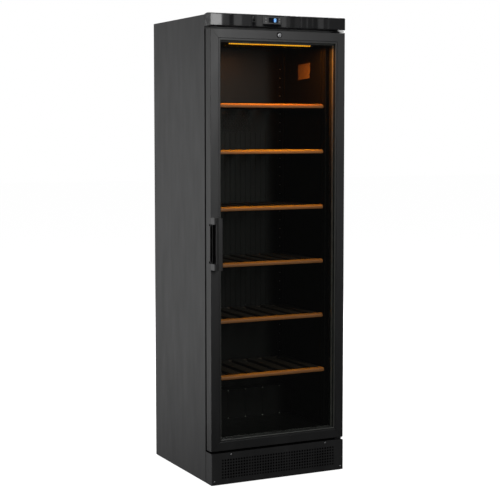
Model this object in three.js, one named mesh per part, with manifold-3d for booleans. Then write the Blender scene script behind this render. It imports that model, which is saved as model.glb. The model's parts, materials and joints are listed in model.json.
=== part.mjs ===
// Free-standing wine cooler with one glass door, six shelves and a fascia with its controls.
// Millimetres, +Z up. The front faces -Y, and +X is to the right of a person who faces the door.
// The origin is on the floor, under the middle of the cooler's box.
// Inside the cooler group, y = 0 is the door's front face and z = 0 is the kick plate's lower edge.

import * as THREE from 'three';
import { mergeVertices } from 'three/addons/utils/BufferGeometryUtils.js';
import Module from 'manifold-3d';

const wasm = await Module();
wasm.setup();

// ---------------------------------------------------------------- driving dimensions
const gap = 0.3; // left between pieces that touch
const reach = 1; // how far a cutter runs past the face it cuts
const overlap = 0.5; // how far joined pieces run into each other
const turnClearance = 0.4; // between a shaft and its bore

const halfWidth = 297.5;
const floorClearance = 5;
const cabinetFront = 55;
const cabinetBack = 570;
const panelTop = 1835;
const sheet = 1.5;
const frontFlange = 19.5;

const kickTop = 126;
const kickFront = -2;
const kickReturn = 54.5;

const doorBottom = 134;
const doorTop = 1779;
const doorDepth = 43;
const frameWidth = 42;
const gasketOuter = 26;
const gasketWidth = 16;

const fasciaBottom = 1790;
const fasciaTop = 1840;
const fasciaDepth = 54.5;
const fasciaWall = 2.5;

const linerWall = 2;
const cavityHalfWidth = 240;
const cavityFloor = 176;
const cavityCeiling = 1736;
const cavityBack = 510;
const humpFront = 344;
const humpTop = 300;
const linerFlangeBottom = 128;
const linerFlangeTop = 1780;

const bayFront = 394;
const bayTop = 250;

const hingeX = 279;
const hingeY = 20;
const hingePinRadius = 4;

const lockZ = 1761.4;
const lockBarrelRadius = 7.5;

const handleBottom = 850.5;
const handleTop = 1053.5;
const handleReach = 45;
const postHeight = 25;
const scoopWidth = 8;
const scoopDepth = 6;

const ductFront = 425;
const fanCentreX = 8;
const fanCentreZ = 1435;
const condenserFanZ = 64;

const shelfLevels = [1487.5, 1305, 1081, 859.5, 636.5, 413.5];
const shelfFront = 58;
const loosenedShelf = 6;
const loosenedShift = -14;

const backLip = 30;

const ledgeWidth = 7;
const ledgeHeight = 6;
const ledgeFront = 84;
const ledgeBack = 418;

const baseWall = 2;
const trayFloor = 2;
const trayFront = 60;
const trayRim = 14;
const cheekFront = 8;
const cheekTop = 122;
const crossRailBottom = 108;
const crossRailDepth = 12;
const tabWidth = 15;
const tabLow = 5;
const tabHigh = 24;

const rollerRadius = 17;
const rollerX = 240;
const rollerY = 525;
const rollerHalfWidth = 11;
const rollerPinRadius = 4;
const pinOverhang = 1.5;
const earClearance = 1.5;
const earThickness = 2.5;
const earHalfLength = 12;
const earRise = 9;

const footX = 250;
const footY = 95;
const footPadRadius = 18;
const footPadHeight = 5.5;
const stemRadius = 5;
const stemTop = 42;
const stemClearance = 0.6;

const grilleColumns = 43;
const grillePitch = 11.86;
const grilleSlotHalf = 3.2;
const grilleLow = 23;
const grilleHigh = 99.5;
const kickLip = 30;
const screwPlaces = [[-212.7, 116.5], [212.7, 116.5], [-284.5, 13.3], [284.5, 13.3]];
const screwHeadRadius = 4.2;
const screwHeadHeight = 1.8;
const screwShankRadius = 2;
const screwLength = 9.5;

// Section of the fascia: [depth, height, share of a margin taken in depth, and in height].
const fasciaSection = [
  [1.2, fasciaBottom, 1, 1],
  [0, fasciaBottom + 2, 1, 0.4],
  [0, fasciaTop - 5, 1, -0.4],
  [2, fasciaTop - 2.6, 1, -1],
  [14, fasciaTop - 0.7, 0, -1],
  [28, fasciaTop, 0, -1],
  [42, fasciaTop - 1.4, 0, -1],
  [fasciaDepth, fasciaTop - 4.6, 0, -1],
  [fasciaDepth, fasciaBottom, 0, 1],
];
const fasciaCut = 8;
const camSlotLeft = -25;
const camSlotRight = 8;
const camSlotSize = 6;

const switchX = -111;
const switchZ = 1820;
const switchHalfWidth = 7.5;
const switchHalfHeight = 12;
const switchFlange = 1;
const switchFace = -1.3;
const switchDepth = 22;
const switchPocketDepth = 14;
const switchWall = 1;
const switchEndWall = 0.7;
const rockerPivotY = 3.5;
const rockerTilt = -8;
// Section of the rocker about its pivot: [depth, height].
const rockerSection = [[-5.2, 9], [0.5, 7.5], [4, 0], [0.5, -7.5], [-5.2, -9], [-3.6, 0]];

const bezelLeft = -73;
const bezelRight = 8.5;
const bezelLow = 1803;
const bezelHigh = 1832;
const bezelFace = -1.2;
const bodyInset = 3;
const bodyDepth = 38;
const lensX = -27.3;
const lensHalfWidth = 19.7;
const lensHalfHeight = 9.5;
const lensThickness = 1.2;
const lensPocket = 0.6;
const buttonColumns = [-60, 0];
const buttonRise = 5.2;
const buttonHalfWidth = 3;
const buttonHalfHeight = 2.4;
const buttonLength = 3.8;
const buttonPocket = 3.4;

const bracketThickness = 3;
const bracketLeft = 263;
const bracketRight = 295;
const bracketFront = 5;
const bracketLegLeft = 278;
const bracketLegFront = 51.5;
const bracketLegHeight = 24;
const bracketToDoor = 3.5;
const pinInDoor = 11;

const glassEdge = 33;
const paneThickness = 4;
const outerPaneY = 5.9;
const spacerDepth = 12.6;
const spacerOuter = 36;
const spacerInner = 47.5;
const frameFace = 34.5;
const frameEdge = 1.5;
const beadEdge = 36;
const beadDrop = 2;
const rebateEdge = 32;

const postFront = -36;
const postBevel = 4;
const gripLeft = -291;
const gripRight = -265;
const gripBevel = 7;
const earHeight = 8;
const earDepth = 15;

const lockSleeveRadius = 10;
const lockFlangeRadius = 11.8;
const lockFlangeFront = -2;
const lockBarrelFront = -1.6;
const lockBarrelBack = 48.5;
const keySlotHalfWidth = 0.9;
const keySlotHalfHeight = 4;
const keySlotDepth = 2.5;
const camLength = 36;
const camHalfWidth = 5;
const camFront = 1.8;
const camThickness = 2.5;

const stripHalfLength = 235;
const stripHalfHeight = 8.25;
const stripDepth = 18;
const stripCorner = 6;
const rackTop = 5;
const rackBottom = -7;
const rackBack = 415;
const battenDepth = 14;
const battenDrop = 3;
const slatCount = 7;
const slatPitch = 71.5;
const slatHalfWidth = 22.5;

const lampHalfLength = 189;
const lampFront = 68;
const lampBack = 82;
const lampBottom = 1724;

const ductThickness = 2.5;
const outletRows = 6;
const outletPitch = 11.5;
const outletHeight = 6;
const outletHalfWidth = 66;
const outletDrop = 32;
const returnSlots = 8;
const returnPitch = 50;
const returnHalfWidth = 18;
const returnHeight = 10;
const returnRise = 20;

const coilFins = 25;
const coilPitch = 14;
const coilGroove = 14;
const coilDepth = 60;
const coilFront = 442;
const coilLow = 920;
const coilHeight = 330;
const finThickness = 2;

const shaftRadius = 3;
const bladeCount = 5;
const fanDepth = 18;
const coolFanRadius = 50;
const coolHubRadius = 14;
const coolFanY = 446;
const coolMotorRadius = 20;
const coolShaftFront = 8;
const coolMotorFront = 22;
const coolMotorBack = 46;
const motorArmSpan = 75;
const motorArmHalf = 8;
const motorArmDepth = 6;

const compressorX = 60;
const compressorY = 476;
const compressorSeat = 12;
// Turned outline of the compressor's shell: [radius, height].
const compressorShell = [[0, 0], [58, 0], [64, 8], [64, 84], [60, 112], [46, 134], [24, 144], [0, 146]];
const compressorPlate = [82, 50];
const compressorFeet = [[-68, -38], [68, -38], [-68, 38], [68, 38]];
const compressorFootRadius = 9;
const compressorNeckRadius = 24;

const dripLow = [-40, 405, 190];
const dripHigh = [170, 560, 230];

const coreFront = 68;
const coreDepth = 52;
const coreHeight = 104;
const coreFins = 23;
const corePitch = 12;
const corePlate = 12;
const shroudHalfWidth = 62;
const shroudDepth = 28;
const shroudRadius = 49;
const coreWindowRadius = 46;
const condenserFanRadius = 45;
const condenserHubRadius = 13;
const condenserMotorRadius = 19;
const condenserMotorDepth = 26;
const condenserArmOuter = 58;
const condenserArmWidth = 4;
const condenserArmHalf = 6;

const inletX = -235;
const inletHalfWidth = 15;
const inletFront = 545;
const socketHalfWidth = 11.5;
const socketLow = 208;
const socketHigh = 226;
const inletWall = 3;
const inletBase = 6;

const backSheetLow = bayTop - gap - sheet;
const middleY = (cabinetBack - handleReach) / 2;
const doorHeight = doorTop - doorBottom;
const width = 2 * halfWidth;

// ---------------------------------------------------------------- materials
function finish(colour, roughness, metalness) {
  return new THREE.MeshStandardMaterial({ color: colour, roughness, metalness });
}

const outerSteel = finish(0x3d3e40, 0.42, 0.4);
const frameSatin = finish(0x2c2d2f, 0.45, 0.1);
const glossBlack = finish(0x121314, 0.12, 0.0);
const blackPlastic = finish(0x161617, 0.5, 0.0);
const linerBlack = finish(0x101010, 0.3, 0.0);
const foam = finish(0xd8c690, 0.9, 0.0);
const zinc = finish(0x9a9c9e, 0.38, 0.9);
const brightScrew = finish(0xd5d6d8, 0.25, 1.0);
const rubber = finish(0x1b1b1c, 0.8, 0.0);
const clearGlass = new THREE.MeshStandardMaterial({
  color: 0x35393a,
  roughness: 0.05,
  metalness: 0.0,
  transparent: true,
  opacity: 0.3,
});
const beech = finish(0xc7823a, 0.55, 0.0);
const rackBlack = finish(0x1e1a17, 0.55, 0.1);
const warmLight = new THREE.MeshStandardMaterial({
  color: 0xffa52a,
  emissive: 0xff8a10,
  roughness: 0.4,
  metalness: 0.0,
});
const blueDisplay = new THREE.MeshStandardMaterial({
  color: 0x05070c,
  emissive: 0x0a2a66,
  roughness: 0.1,
  metalness: 0.0,
});
const aluminium = finish(0xb9bcbe, 0.4, 0.9);
const whiteMark = finish(0xa8aaad, 0.5, 0.0);

// ---------------------------------------------------------------- geometry helpers
const alongX = new THREE.Vector3(1, 0, 0);
const alongY = new THREE.Vector3(0, 1, 0);
const alongZ = new THREE.Vector3(0, 0, 1);

// A block between its lowest and its highest corner, each [x, y, z].
function block(low, high) {
  const size = high.map((value, axis) => value - low[axis]);
  const middle = high.map((value, axis) => (value + low[axis]) / 2);
  return new THREE.BoxGeometry(...size).translate(...middle);
}

function extrude(outline, holes, depth) {
  const shape = new THREE.Shape(outline.map(([a, b]) => new THREE.Vector2(a, b)));
  for (const hole of holes) {
    shape.holes.push(new THREE.Path(hole.map(([a, b]) => new THREE.Vector2(a, b))));
  }
  return new THREE.ExtrudeGeometry(shape, { depth, bevelEnabled: false });
}

// An outline of [y, z] points, extruded from x = start to x = end.
function extrudeX(outline, start, end) {
  const turned = new THREE.Matrix4().makeBasis(alongY, alongZ, alongX);
  return extrude(outline, [], end - start).applyMatrix4(turned).translate(start, 0, 0);
}

// An outline of [x, z] points, with holes in it, extruded from y = start to y = end.
function extrudeY(outline, start, end, holes = []) {
  const turned = new THREE.Matrix4().makeBasis(alongX, alongZ, alongY.clone().negate());
  return extrude(outline, holes, end - start).applyMatrix4(turned).translate(0, end, 0);
}

// An outline of [x, y] points, extruded from z = start to z = end.
function extrudeZ(outline, start, end) {
  return extrude(outline, [], end - start).translate(0, 0, start);
}

// The four corners of a rectangle.
function rectangle(left, right, low, high) {
  return [[left, low], [right, low], [right, high], [left, high]];
}

// A round bar with one of its flat facets facing down, along 'x', 'y' or 'z'.
function roundBar(axis, radius, from, to, segments = 16) {
  const bar = new THREE.CylinderGeometry(radius, radius, to - from, segments);
  bar.rotateY(Math.PI / segments);
  bar.translate(0, (from + to) / 2, 0);
  if (axis === 'x') {
    return bar.rotateZ(-Math.PI / 2);
  }
  return axis === 'z' ? bar.rotateX(Math.PI / 2) : bar;
}

function toSolid(geometry) {
  const bare = geometry.clone();
  bare.deleteAttribute('normal');
  bare.deleteAttribute('uv');
  const merged = mergeVertices(bare, 1e-4);
  return new wasm.Manifold(
    new wasm.Mesh({
      numProp: 3,
      vertProperties: new Float32Array(merged.attributes.position.array),
      triVerts: new Uint32Array(merged.index.array),
    }),
  );
}

function toGeometry(solid) {
  const mesh = solid.getMesh();
  const geometry = new THREE.BufferGeometry();
  geometry.setAttribute('position', new THREE.BufferAttribute(mesh.vertProperties, 3));
  geometry.setIndex(new THREE.BufferAttribute(mesh.triVerts, 1));
  const flat = geometry.toNonIndexed();
  flat.computeVertexNormals();
  return flat;
}

// All the pieces joined into one.
function fuse(pieces) {
  return toGeometry(pieces.map(toSolid).reduce((whole, piece) => whole.add(piece)));
}

// The base with every cutter taken away.
function carve(base, cutters) {
  return toGeometry(cutters.map(toSolid).reduce((rest, cutter) => rest.subtract(cutter), toSolid(base)));
}

function addPart(parent, name, geometry, material, place = [0, 0, 0]) {
  const mesh = new THREE.Mesh(geometry, material);
  mesh.name = name;
  mesh.position.set(...place);
  parent.add(mesh);
  return mesh;
}

function addGroup(parent, place = [0, 0, 0]) {
  const group = new THREE.Group();
  group.position.set(...place);
  parent.add(group);
  return group;
}

// A block of upright fins on a plate: a comb outline extruded upwards.
function finBlock(finCount, pitch, finThickness, plateThickness, depth, height) {
  const half = (finCount - 1) * pitch / 2;
  const outline = [[half + finThickness / 2, depth], [-half - finThickness / 2, depth]];
  for (let fin = 0; fin < finCount; fin += 1) {
    const x = -half + fin * pitch;
    if (fin > 0) {
      outline.push([x - finThickness / 2, depth - plateThickness]);
    }
    outline.push([x - finThickness / 2, 0]);
    outline.push([x + finThickness / 2, 0]);
    if (fin < finCount - 1) {
      outline.push([x + finThickness / 2, depth - plateThickness]);
    }
  }
  return extrudeZ(outline, 0, height);
}

// An axial fan: a hub with a blind bore from behind and pitched blades, blowing along y.
function axialFan(radius, hubRadius) {
  const bladePitch = THREE.MathUtils.degToRad(28);
  const bladeThickness = 1.6;
  const bladeWidth = hubRadius * 1.7;
  const bladeRoot = hubRadius / 2;
  const pieces = [roundBar('y', hubRadius, 0, fanDepth)];
  for (let blade = 0; blade < bladeCount; blade += 1) {
    const geometry = new THREE.BoxGeometry(bladeWidth, bladeThickness, radius - bladeRoot);
    geometry.rotateZ(bladePitch);
    geometry.translate(0, fanDepth / 2, (radius + bladeRoot) / 2);
    geometry.rotateY((2 * Math.PI * blade) / bladeCount);
    pieces.push(geometry);
  }
  const boreStart = fanDepth * 0.35;
  const bore = roundBar('y', shaftRadius + turnClearance, boreStart, fanDepth + reach);
  return carve(fuse(pieces), [bore]);
}

// ---------------------------------------------------------------- cabinet shell
function addShell(cabinet) {
  const inner = halfWidth - sheet;
  const flangeEdge = halfWidth - frontFlange;
  const sideOutline = [
    [-halfWidth, cabinetFront],
    [-flangeEdge, cabinetFront],
    [-flangeEdge, cabinetFront + sheet],
    [-inner, cabinetFront + sheet],
    [-inner, cabinetBack],
    [-halfWidth, cabinetBack],
  ];
  const mirrored = sideOutline.map(([x, y]) => [-x, y]).reverse();
  addPart(cabinet, 'side_panel_left', extrudeZ(sideOutline, 0, panelTop), outerSteel);
  addPart(cabinet, 'side_panel_right', extrudeZ(mirrored, 0, panelTop), outerSteel);

  const plateHalf = inner - gap;
  const lipHalf = flangeEdge - gap;
  const lipBack = cabinetFront + 5;
  const plateLow = panelTop - sheet;
  const top = fuse([
    block(
      [-plateHalf, cabinetFront + sheet + gap, plateLow],
      [plateHalf, cabinetBack - sheet - gap, panelTop],
    ),
    block([-lipHalf, cabinetFront, plateLow], [lipHalf, lipBack, panelTop]),
    block([-lipHalf, cabinetFront, linerFlangeTop + gap], [lipHalf, cabinetFront + sheet, panelTop]),
  ]);
  addPart(cabinet, 'top_panel', top, outerSteel);

  // The back sheet turns forward under the foam; the machine bay below it stays open.
  const backInside = cabinetBack - sheet;
  const back = fuse([
    block([-plateHalf, backInside, backSheetLow], [plateHalf, cabinetBack, panelTop]),
    block(
      [-plateHalf, backInside - backLip, backSheetLow],
      [plateHalf, backInside + overlap, backSheetLow + sheet],
    ),
  ]);
  addPart(cabinet, 'back_panel', back, zinc);
}

// ---------------------------------------------------------------- foam and liner
// The cavity seen from the side, grown outwards by a margin: floor, hump, back and ceiling.
function cavityOutline(margin, front) {
  return [
    [front, cavityFloor - margin],
    [humpFront + margin, cavityFloor - margin],
    [humpFront + margin, humpTop - margin],
    [cavityBack + margin, humpTop - margin],
    [cavityBack + margin, cavityCeiling + margin],
    [front, cavityCeiling + margin],
  ];
}

function addFoamAndLiner(cabinet) {
  const foamHalf = halfWidth - sheet - gap;
  const foamFront = cabinetFront + linerWall + gap;
  const foamBack = cabinetBack - sheet - gap;
  const foamTop = panelTop - sheet - gap;
  const foamOutline = [
    [foamFront, kickTop],
    [bayFront, kickTop],
    [bayFront, bayTop],
    [foamBack, bayTop],
    [foamBack, foamTop],
    [foamFront, foamTop],
  ];
  const foamMargin = linerWall + gap;
  const foamCavityHalf = cavityHalfWidth + foamMargin;
  const foamCavity = extrudeX(cavityOutline(foamMargin, 0), -foamCavityHalf, foamCavityHalf);
  const insulation = carve(extrudeX(foamOutline, -foamHalf, foamHalf), [foamCavity]);
  addPart(cabinet, 'insulation', insulation, foam);

  const flangeHalf = halfWidth - frontFlange - gap;
  const shellHalf = cavityHalfWidth + linerWall;
  const shell = fuse([
    extrudeX(cavityOutline(linerWall, cabinetFront), -shellHalf, shellHalf),
    block(
      [-flangeHalf, cabinetFront, linerFlangeBottom],
      [flangeHalf, cabinetFront + linerWall, linerFlangeTop],
    ),
  ]);
  const hollow = carve(shell, [extrudeX(cavityOutline(0, 0), -cavityHalfWidth, cavityHalfWidth)]);

  // Ledges moulded into the side walls, one pair under each shelf.
  const pieces = [hollow];
  for (const level of shelfLevels) {
    for (const side of [-1, 1]) {
      const outer = side * (cavityHalfWidth + linerWall / 2);
      const innerEdge = side * (cavityHalfWidth - ledgeWidth);
      const top = level + rackBottom - gap;
      pieces.push(
        block(
          [Math.min(outer, innerEdge), ledgeFront, top - ledgeHeight],
          [Math.max(outer, innerEdge), ledgeBack, top],
        ),
      );
    }
  }
  addPart(cabinet, 'inner_liner', fuse(pieces), linerBlack);
}

// ---------------------------------------------------------------- base, kick plate, feet
function addBase(cabinet) {
  const trayHalf = halfWidth - sheet - gap;
  const trayBack = cabinetBack - sheet - gap;
  const trayTop = trayFloor + trayRim;
  const tray = carve(block([-trayHalf, trayFront, trayFloor], [trayHalf, trayBack, trayTop]), [
    block(
      [-trayHalf + baseWall, trayFront + baseWall, trayFloor + baseWall],
      [trayHalf - baseWall, trayBack - baseWall, trayTop + reach],
    ),
  ]);
  const cheekOuter = halfWidth - frontFlange - gap;
  const cheekInner = cheekOuter - baseWall;
  const cheekBack = trayFront + baseWall + reach;
  const railBack = cheekFront + crossRailDepth;
  const pieces = [
    tray,
    block([-cheekOuter, cheekFront, crossRailBottom], [cheekOuter, railBack, cheekTop]),
  ];
  for (const side of [-1, 1]) {
    const cheek = [side * cheekInner, side * cheekOuter].sort((a, b) => a - b);
    const tab = [side * cheekInner, side * (cheekInner + tabWidth)].sort((a, b) => a - b);
    pieces.push(block([cheek[0], cheekFront, trayFloor], [cheek[1], cheekBack, cheekTop]));
    pieces.push(block([tab[0], cheekFront, tabLow], [tab[1], cheekFront + baseWall, tabHigh]));
  }
  const earFrom = rollerHalfWidth + earClearance;
  const earTo = earFrom + earThickness;
  const axleZ = rollerRadius - floorClearance;
  for (const side of [-1, 1]) {
    for (const ear of [-1, 1]) {
      const edges = [ear * earFrom, ear * earTo].sort((a, b) => a - b);
      const x = side * rollerX;
      pieces.push(
        block(
          [x + edges[0], rollerY - earHalfLength, trayFloor + baseWall - reach],
          [x + edges[1], rollerY + earHalfLength, axleZ + earRise],
        ),
      );
    }
  }
  const frame = fuse(pieces);
  const cutters = [];
  const pins = [];
  const slotHalfX = rollerHalfWidth + reach;
  const slotHalfY = rollerRadius + baseWall;
  const cutTop = trayFloor + baseWall + reach;
  const pinReach = earTo + pinOverhang;
  for (const side of [-1, 1]) {
    const x = side * rollerX;
    cutters.push(
      block([x - slotHalfX, rollerY - slotHalfY, 0], [x + slotHalfX, rollerY + slotHalfY, cutTop]),
    );
    pins.push(roundBar('x', rollerPinRadius, x - pinReach, x + pinReach).translate(0, rollerY, axleZ));
    cutters.push(roundBar('z', stemRadius + stemClearance, 0, cutTop).translate(side * footX, footY, 0));
  }
  addPart(cabinet, 'base_frame', fuse([carve(frame, cutters), ...pins]), zinc);

  const rollerSides = 24;
  const flat = Math.cos(Math.PI / rollerSides);
  const roller = carve(
    roundBar('x', rollerRadius / flat, -rollerHalfWidth, rollerHalfWidth, rollerSides),
    [roundBar('x', rollerPinRadius + turnClearance, -rollerHalfWidth - reach, rollerHalfWidth + reach)],
  );
  const foot = fuse([
    roundBar('z', footPadRadius, 0, footPadHeight, 24),
    roundBar('z', stemRadius, footPadHeight - overlap, stemTop),
  ]);
  for (const [side, sideName] of [[-1, 'left'], [1, 'right']]) {
    const footPlace = [side * footX, footY, -floorClearance];
    addPart(cabinet, `roller_${sideName}`, roller, rubber, [side * rollerX, rollerY, axleZ]);
    addPart(cabinet, `levelling_foot_${sideName}`, foot, blackPlastic, footPlace);
  }
}

function addKickPlate(cabinet) {
  const back = kickFront + sheet;
  const side = halfWidth - sheet;
  const outline = [
    [-halfWidth, kickFront],
    [halfWidth, kickFront],
    [halfWidth, kickReturn],
    [side, kickReturn],
    [side, back],
    [-side, back],
    [-side, kickReturn],
    [-halfWidth, kickReturn],
  ];
  const plate = fuse([
    extrudeZ(outline, 0, kickTop),
    block(
      [-side - overlap, kickFront + overlap, kickTop - sheet],
      [side + overlap, kickLip, kickTop],
    ),
  ]);
  const cutters = [];
  for (let column = 0; column < grilleColumns; column += 1) {
    const x = (column - (grilleColumns - 1) / 2) * grillePitch;
    cutters.push(
      block(
        [x - grilleSlotHalf, kickFront - reach, grilleLow],
        [x + grilleSlotHalf, back + reach, grilleHigh],
      ),
    );
  }
  const screwHole = roundBar('y', screwShankRadius + turnClearance, kickFront - reach, back + reach, 12);
  for (const [x, z] of screwPlaces) {
    cutters.push(screwHole.clone().translate(x, 0, z));
  }
  addPart(cabinet, 'kick_plate', carve(plate, cutters), blackPlastic);

  const headOutline = [
    [0, 0],
    [screwHeadRadius * 0.75, screwHeadHeight * 0.17],
    [screwHeadRadius, screwHeadHeight * 0.78],
    [screwHeadRadius, screwHeadHeight],
    [screwShankRadius, screwHeadHeight],
    [screwShankRadius, screwLength],
    [0, screwLength],
  ].map(([radius, y]) => new THREE.Vector2(radius, y));
  const screw = new THREE.LatheGeometry(headOutline, 12);
  const screwFront = kickFront - gap - screwHeadHeight;
  screwPlaces.forEach(([x, z], index) => {
    addPart(cabinet, `kick_screw_${index + 1}`, screw, brightScrew, [x, screwFront, z]);
  });
}

// ---------------------------------------------------------------- fascia and controls
// The fascia seen from the side: a lower bevel, an upright face and a crowned top.
function fasciaOutline(margin) {
  return fasciaSection.map(([y, z, shareY, shareZ]) => {
    const pastBack = y === fasciaDepth && margin > 0 ? reach : 0;
    return [y + margin * shareY + pastBack, z + margin * shareZ];
  });
}

function addFascia(cabinet) {
  const inside = halfWidth - fasciaWall;
  const switchHalfX = switchHalfWidth - switchFlange;
  const switchHalfZ = switchHalfHeight - switchFlange;
  const shell = carve(extrudeX(fasciaOutline(0), -halfWidth, halfWidth), [
    extrudeX(fasciaOutline(fasciaWall), -inside, inside),
    block(
      [switchX - switchHalfX, -reach, switchZ - switchHalfZ],
      [switchX + switchHalfX, fasciaCut, switchZ + switchHalfZ],
    ),
    block(
      [bezelLeft + bodyInset - gap, -reach, bezelLow + bodyInset - gap],
      [bezelRight - bodyInset + gap, fasciaCut, bezelHigh - bodyInset + gap],
    ),
    block(
      [camSlotLeft, doorDepth, fasciaBottom - reach],
      [camSlotRight, doorDepth + camSlotSize, fasciaBottom + camSlotSize],
    ),
  ]);
  addPart(cabinet, 'fascia', shell, glossBlack);
}

function addSwitch(cabinet) {
  const bodyHalfX = switchHalfWidth - switchFlange - gap;
  const bodyHalfZ = switchHalfHeight - switchFlange - gap;
  const pocketHalfX = bodyHalfX - switchWall;
  const pocketHalfZ = bodyHalfZ - switchEndWall;
  const housing = carve(
    fuse([
      block([-switchHalfWidth, switchFace, -switchHalfHeight], [switchHalfWidth, -gap, switchHalfHeight]),
      block([-bodyHalfX, switchFace + gap, -bodyHalfZ], [bodyHalfX, switchDepth, bodyHalfZ]),
    ]),
    [
      block(
        [-pocketHalfX, switchFace - reach, -pocketHalfZ],
        [pocketHalfX, switchPocketDepth, pocketHalfZ],
      ),
    ],
  );
  addPart(cabinet, 'switch_housing', housing, blackPlastic, [switchX, 0, switchZ]);

  const rockerHalf = pocketHalfX - turnClearance;
  const rocker = addPart(
    cabinet,
    'switch_rocker',
    extrudeX(rockerSection, -rockerHalf, rockerHalf),
    glossBlack,
    [switchX, rockerPivotY, switchZ],
  );
  rocker.rotation.x = THREE.MathUtils.degToRad(rockerTilt);
}

function addController(cabinet) {
  const middleZ = (bezelLow + bezelHigh) / 2;
  const buttonPlaces = buttonColumns.flatMap((x) => [
    [x, middleZ - buttonRise],
    [x, middleZ + buttonRise],
  ]);
  const cutters = [
    block(
      [lensX - lensHalfWidth - gap, bezelFace - reach, middleZ - lensHalfHeight - gap],
      [lensX + lensHalfWidth + gap, lensPocket, middleZ + lensHalfHeight + gap],
    ),
  ];
  for (const [x, z] of buttonPlaces) {
    cutters.push(
      block(
        [x - buttonHalfWidth - gap, bezelFace - reach, z - buttonHalfHeight - gap],
        [x + buttonHalfWidth + gap, buttonPocket, z + buttonHalfHeight + gap],
      ),
    );
  }
  const bezel = carve(
    fuse([
      block([bezelLeft, bezelFace, bezelLow], [bezelRight, -gap, bezelHigh]),
      block(
        [bezelLeft + bodyInset, -gap - overlap, bezelLow + bodyInset],
        [bezelRight - bodyInset, bodyDepth, bezelHigh - bodyInset],
      ),
    ]),
    cutters,
  );
  addPart(cabinet, 'controller_bezel', bezel, blackPlastic);

  const lens = new THREE.BoxGeometry(2 * lensHalfWidth, lensThickness, 2 * lensHalfHeight);
  const lensY = lensPocket - turnClearance - lensThickness / 2;
  addPart(cabinet, 'display_lens', lens, blueDisplay, [lensX, lensY, middleZ]);

  const button = new THREE.BoxGeometry(2 * buttonHalfWidth, buttonLength, 2 * buttonHalfHeight);
  buttonPlaces.forEach(([x, z], index) => {
    addPart(cabinet, `control_button_${index + 1}`, button, whiteMark, [x, 0, z]);
  });
}

// ---------------------------------------------------------------- hinge brackets
// Drawn for the lower bracket, whose pin points up from its plate; the upper one is turned over.
function hingeBracket(up) {
  const legBack = cabinetFront - gap;
  const pinEnd = bracketToDoor + pinInDoor;
  const upright = (z) => [Math.min(up * z[0], up * z[1]), Math.max(up * z[0], up * z[1])];
  const plate = upright([-bracketThickness, 0]);
  const leg = upright([-bracketThickness, bracketLegHeight]);
  const pin = upright([-reach, pinEnd]);
  return fuse([
    block([bracketLeft, bracketFront, plate[0]], [bracketRight, legBack, plate[1]]),
    block([bracketLegLeft, bracketLegFront, leg[0]], [bracketRight, legBack, leg[1]]),
    roundBar('z', hingePinRadius, pin[0], pin[1]).translate(hingeX, hingeY, 0),
  ]);
}

function addHinges(cabinet) {
  const lowerPlace = [0, 0, doorBottom - bracketToDoor];
  const upperPlace = [0, 0, doorTop + bracketToDoor];
  addPart(cabinet, 'hinge_bracket_bottom', hingeBracket(1), zinc, lowerPlace);
  addPart(cabinet, 'hinge_bracket_top', hingeBracket(-1), zinc, upperPlace);
}

// ---------------------------------------------------------------- door
const innerPaneBack = outerPaneY + 2 * paneThickness + spacerDepth + 2 * gap;

// Section of the door frame: [distance in from the door's edge, depth from its front face].
const frameProfile = [
  [0, frameEdge],
  [frameEdge / 3, frameEdge / 3],
  [frameEdge, 0],
  [frameFace, 0],
  [beadEdge, beadDrop],
  [frameWidth, beadDrop],
  [frameWidth, outerPaneY - gap],
  [rebateEdge, outerPaneY - gap],
  [rebateEdge, innerPaneBack + gap],
  [frameWidth, innerPaneBack + gap],
  [frameWidth, doorDepth],
  [0, doorDepth],
];

// A bar of the frame's section with its ends cut at 45 degrees, drawn along +Z.
function mitredBar(length) {
  const bar = extrudeZ(frameProfile, 0, 1);
  const position = bar.getAttribute('position');
  for (let index = 0; index < position.count; index += 1) {
    const inset = position.getX(index) + gap / 2;
    const farEnd = position.getZ(index) > 0.5;
    position.setZ(index, farEnd ? length - inset : inset);
  }
  return bar;
}

function rectangularRing(outerInset, innerInset, front, back) {
  const outer = rectangle(
    -halfWidth + outerInset,
    halfWidth - outerInset,
    doorBottom + outerInset,
    doorTop - outerInset,
  );
  const inner = rectangle(
    -halfWidth + innerInset,
    halfWidth - innerInset,
    doorBottom + innerInset,
    doorTop - innerInset,
  );
  return extrudeY(outer, front, back, [inner]);
}

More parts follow.
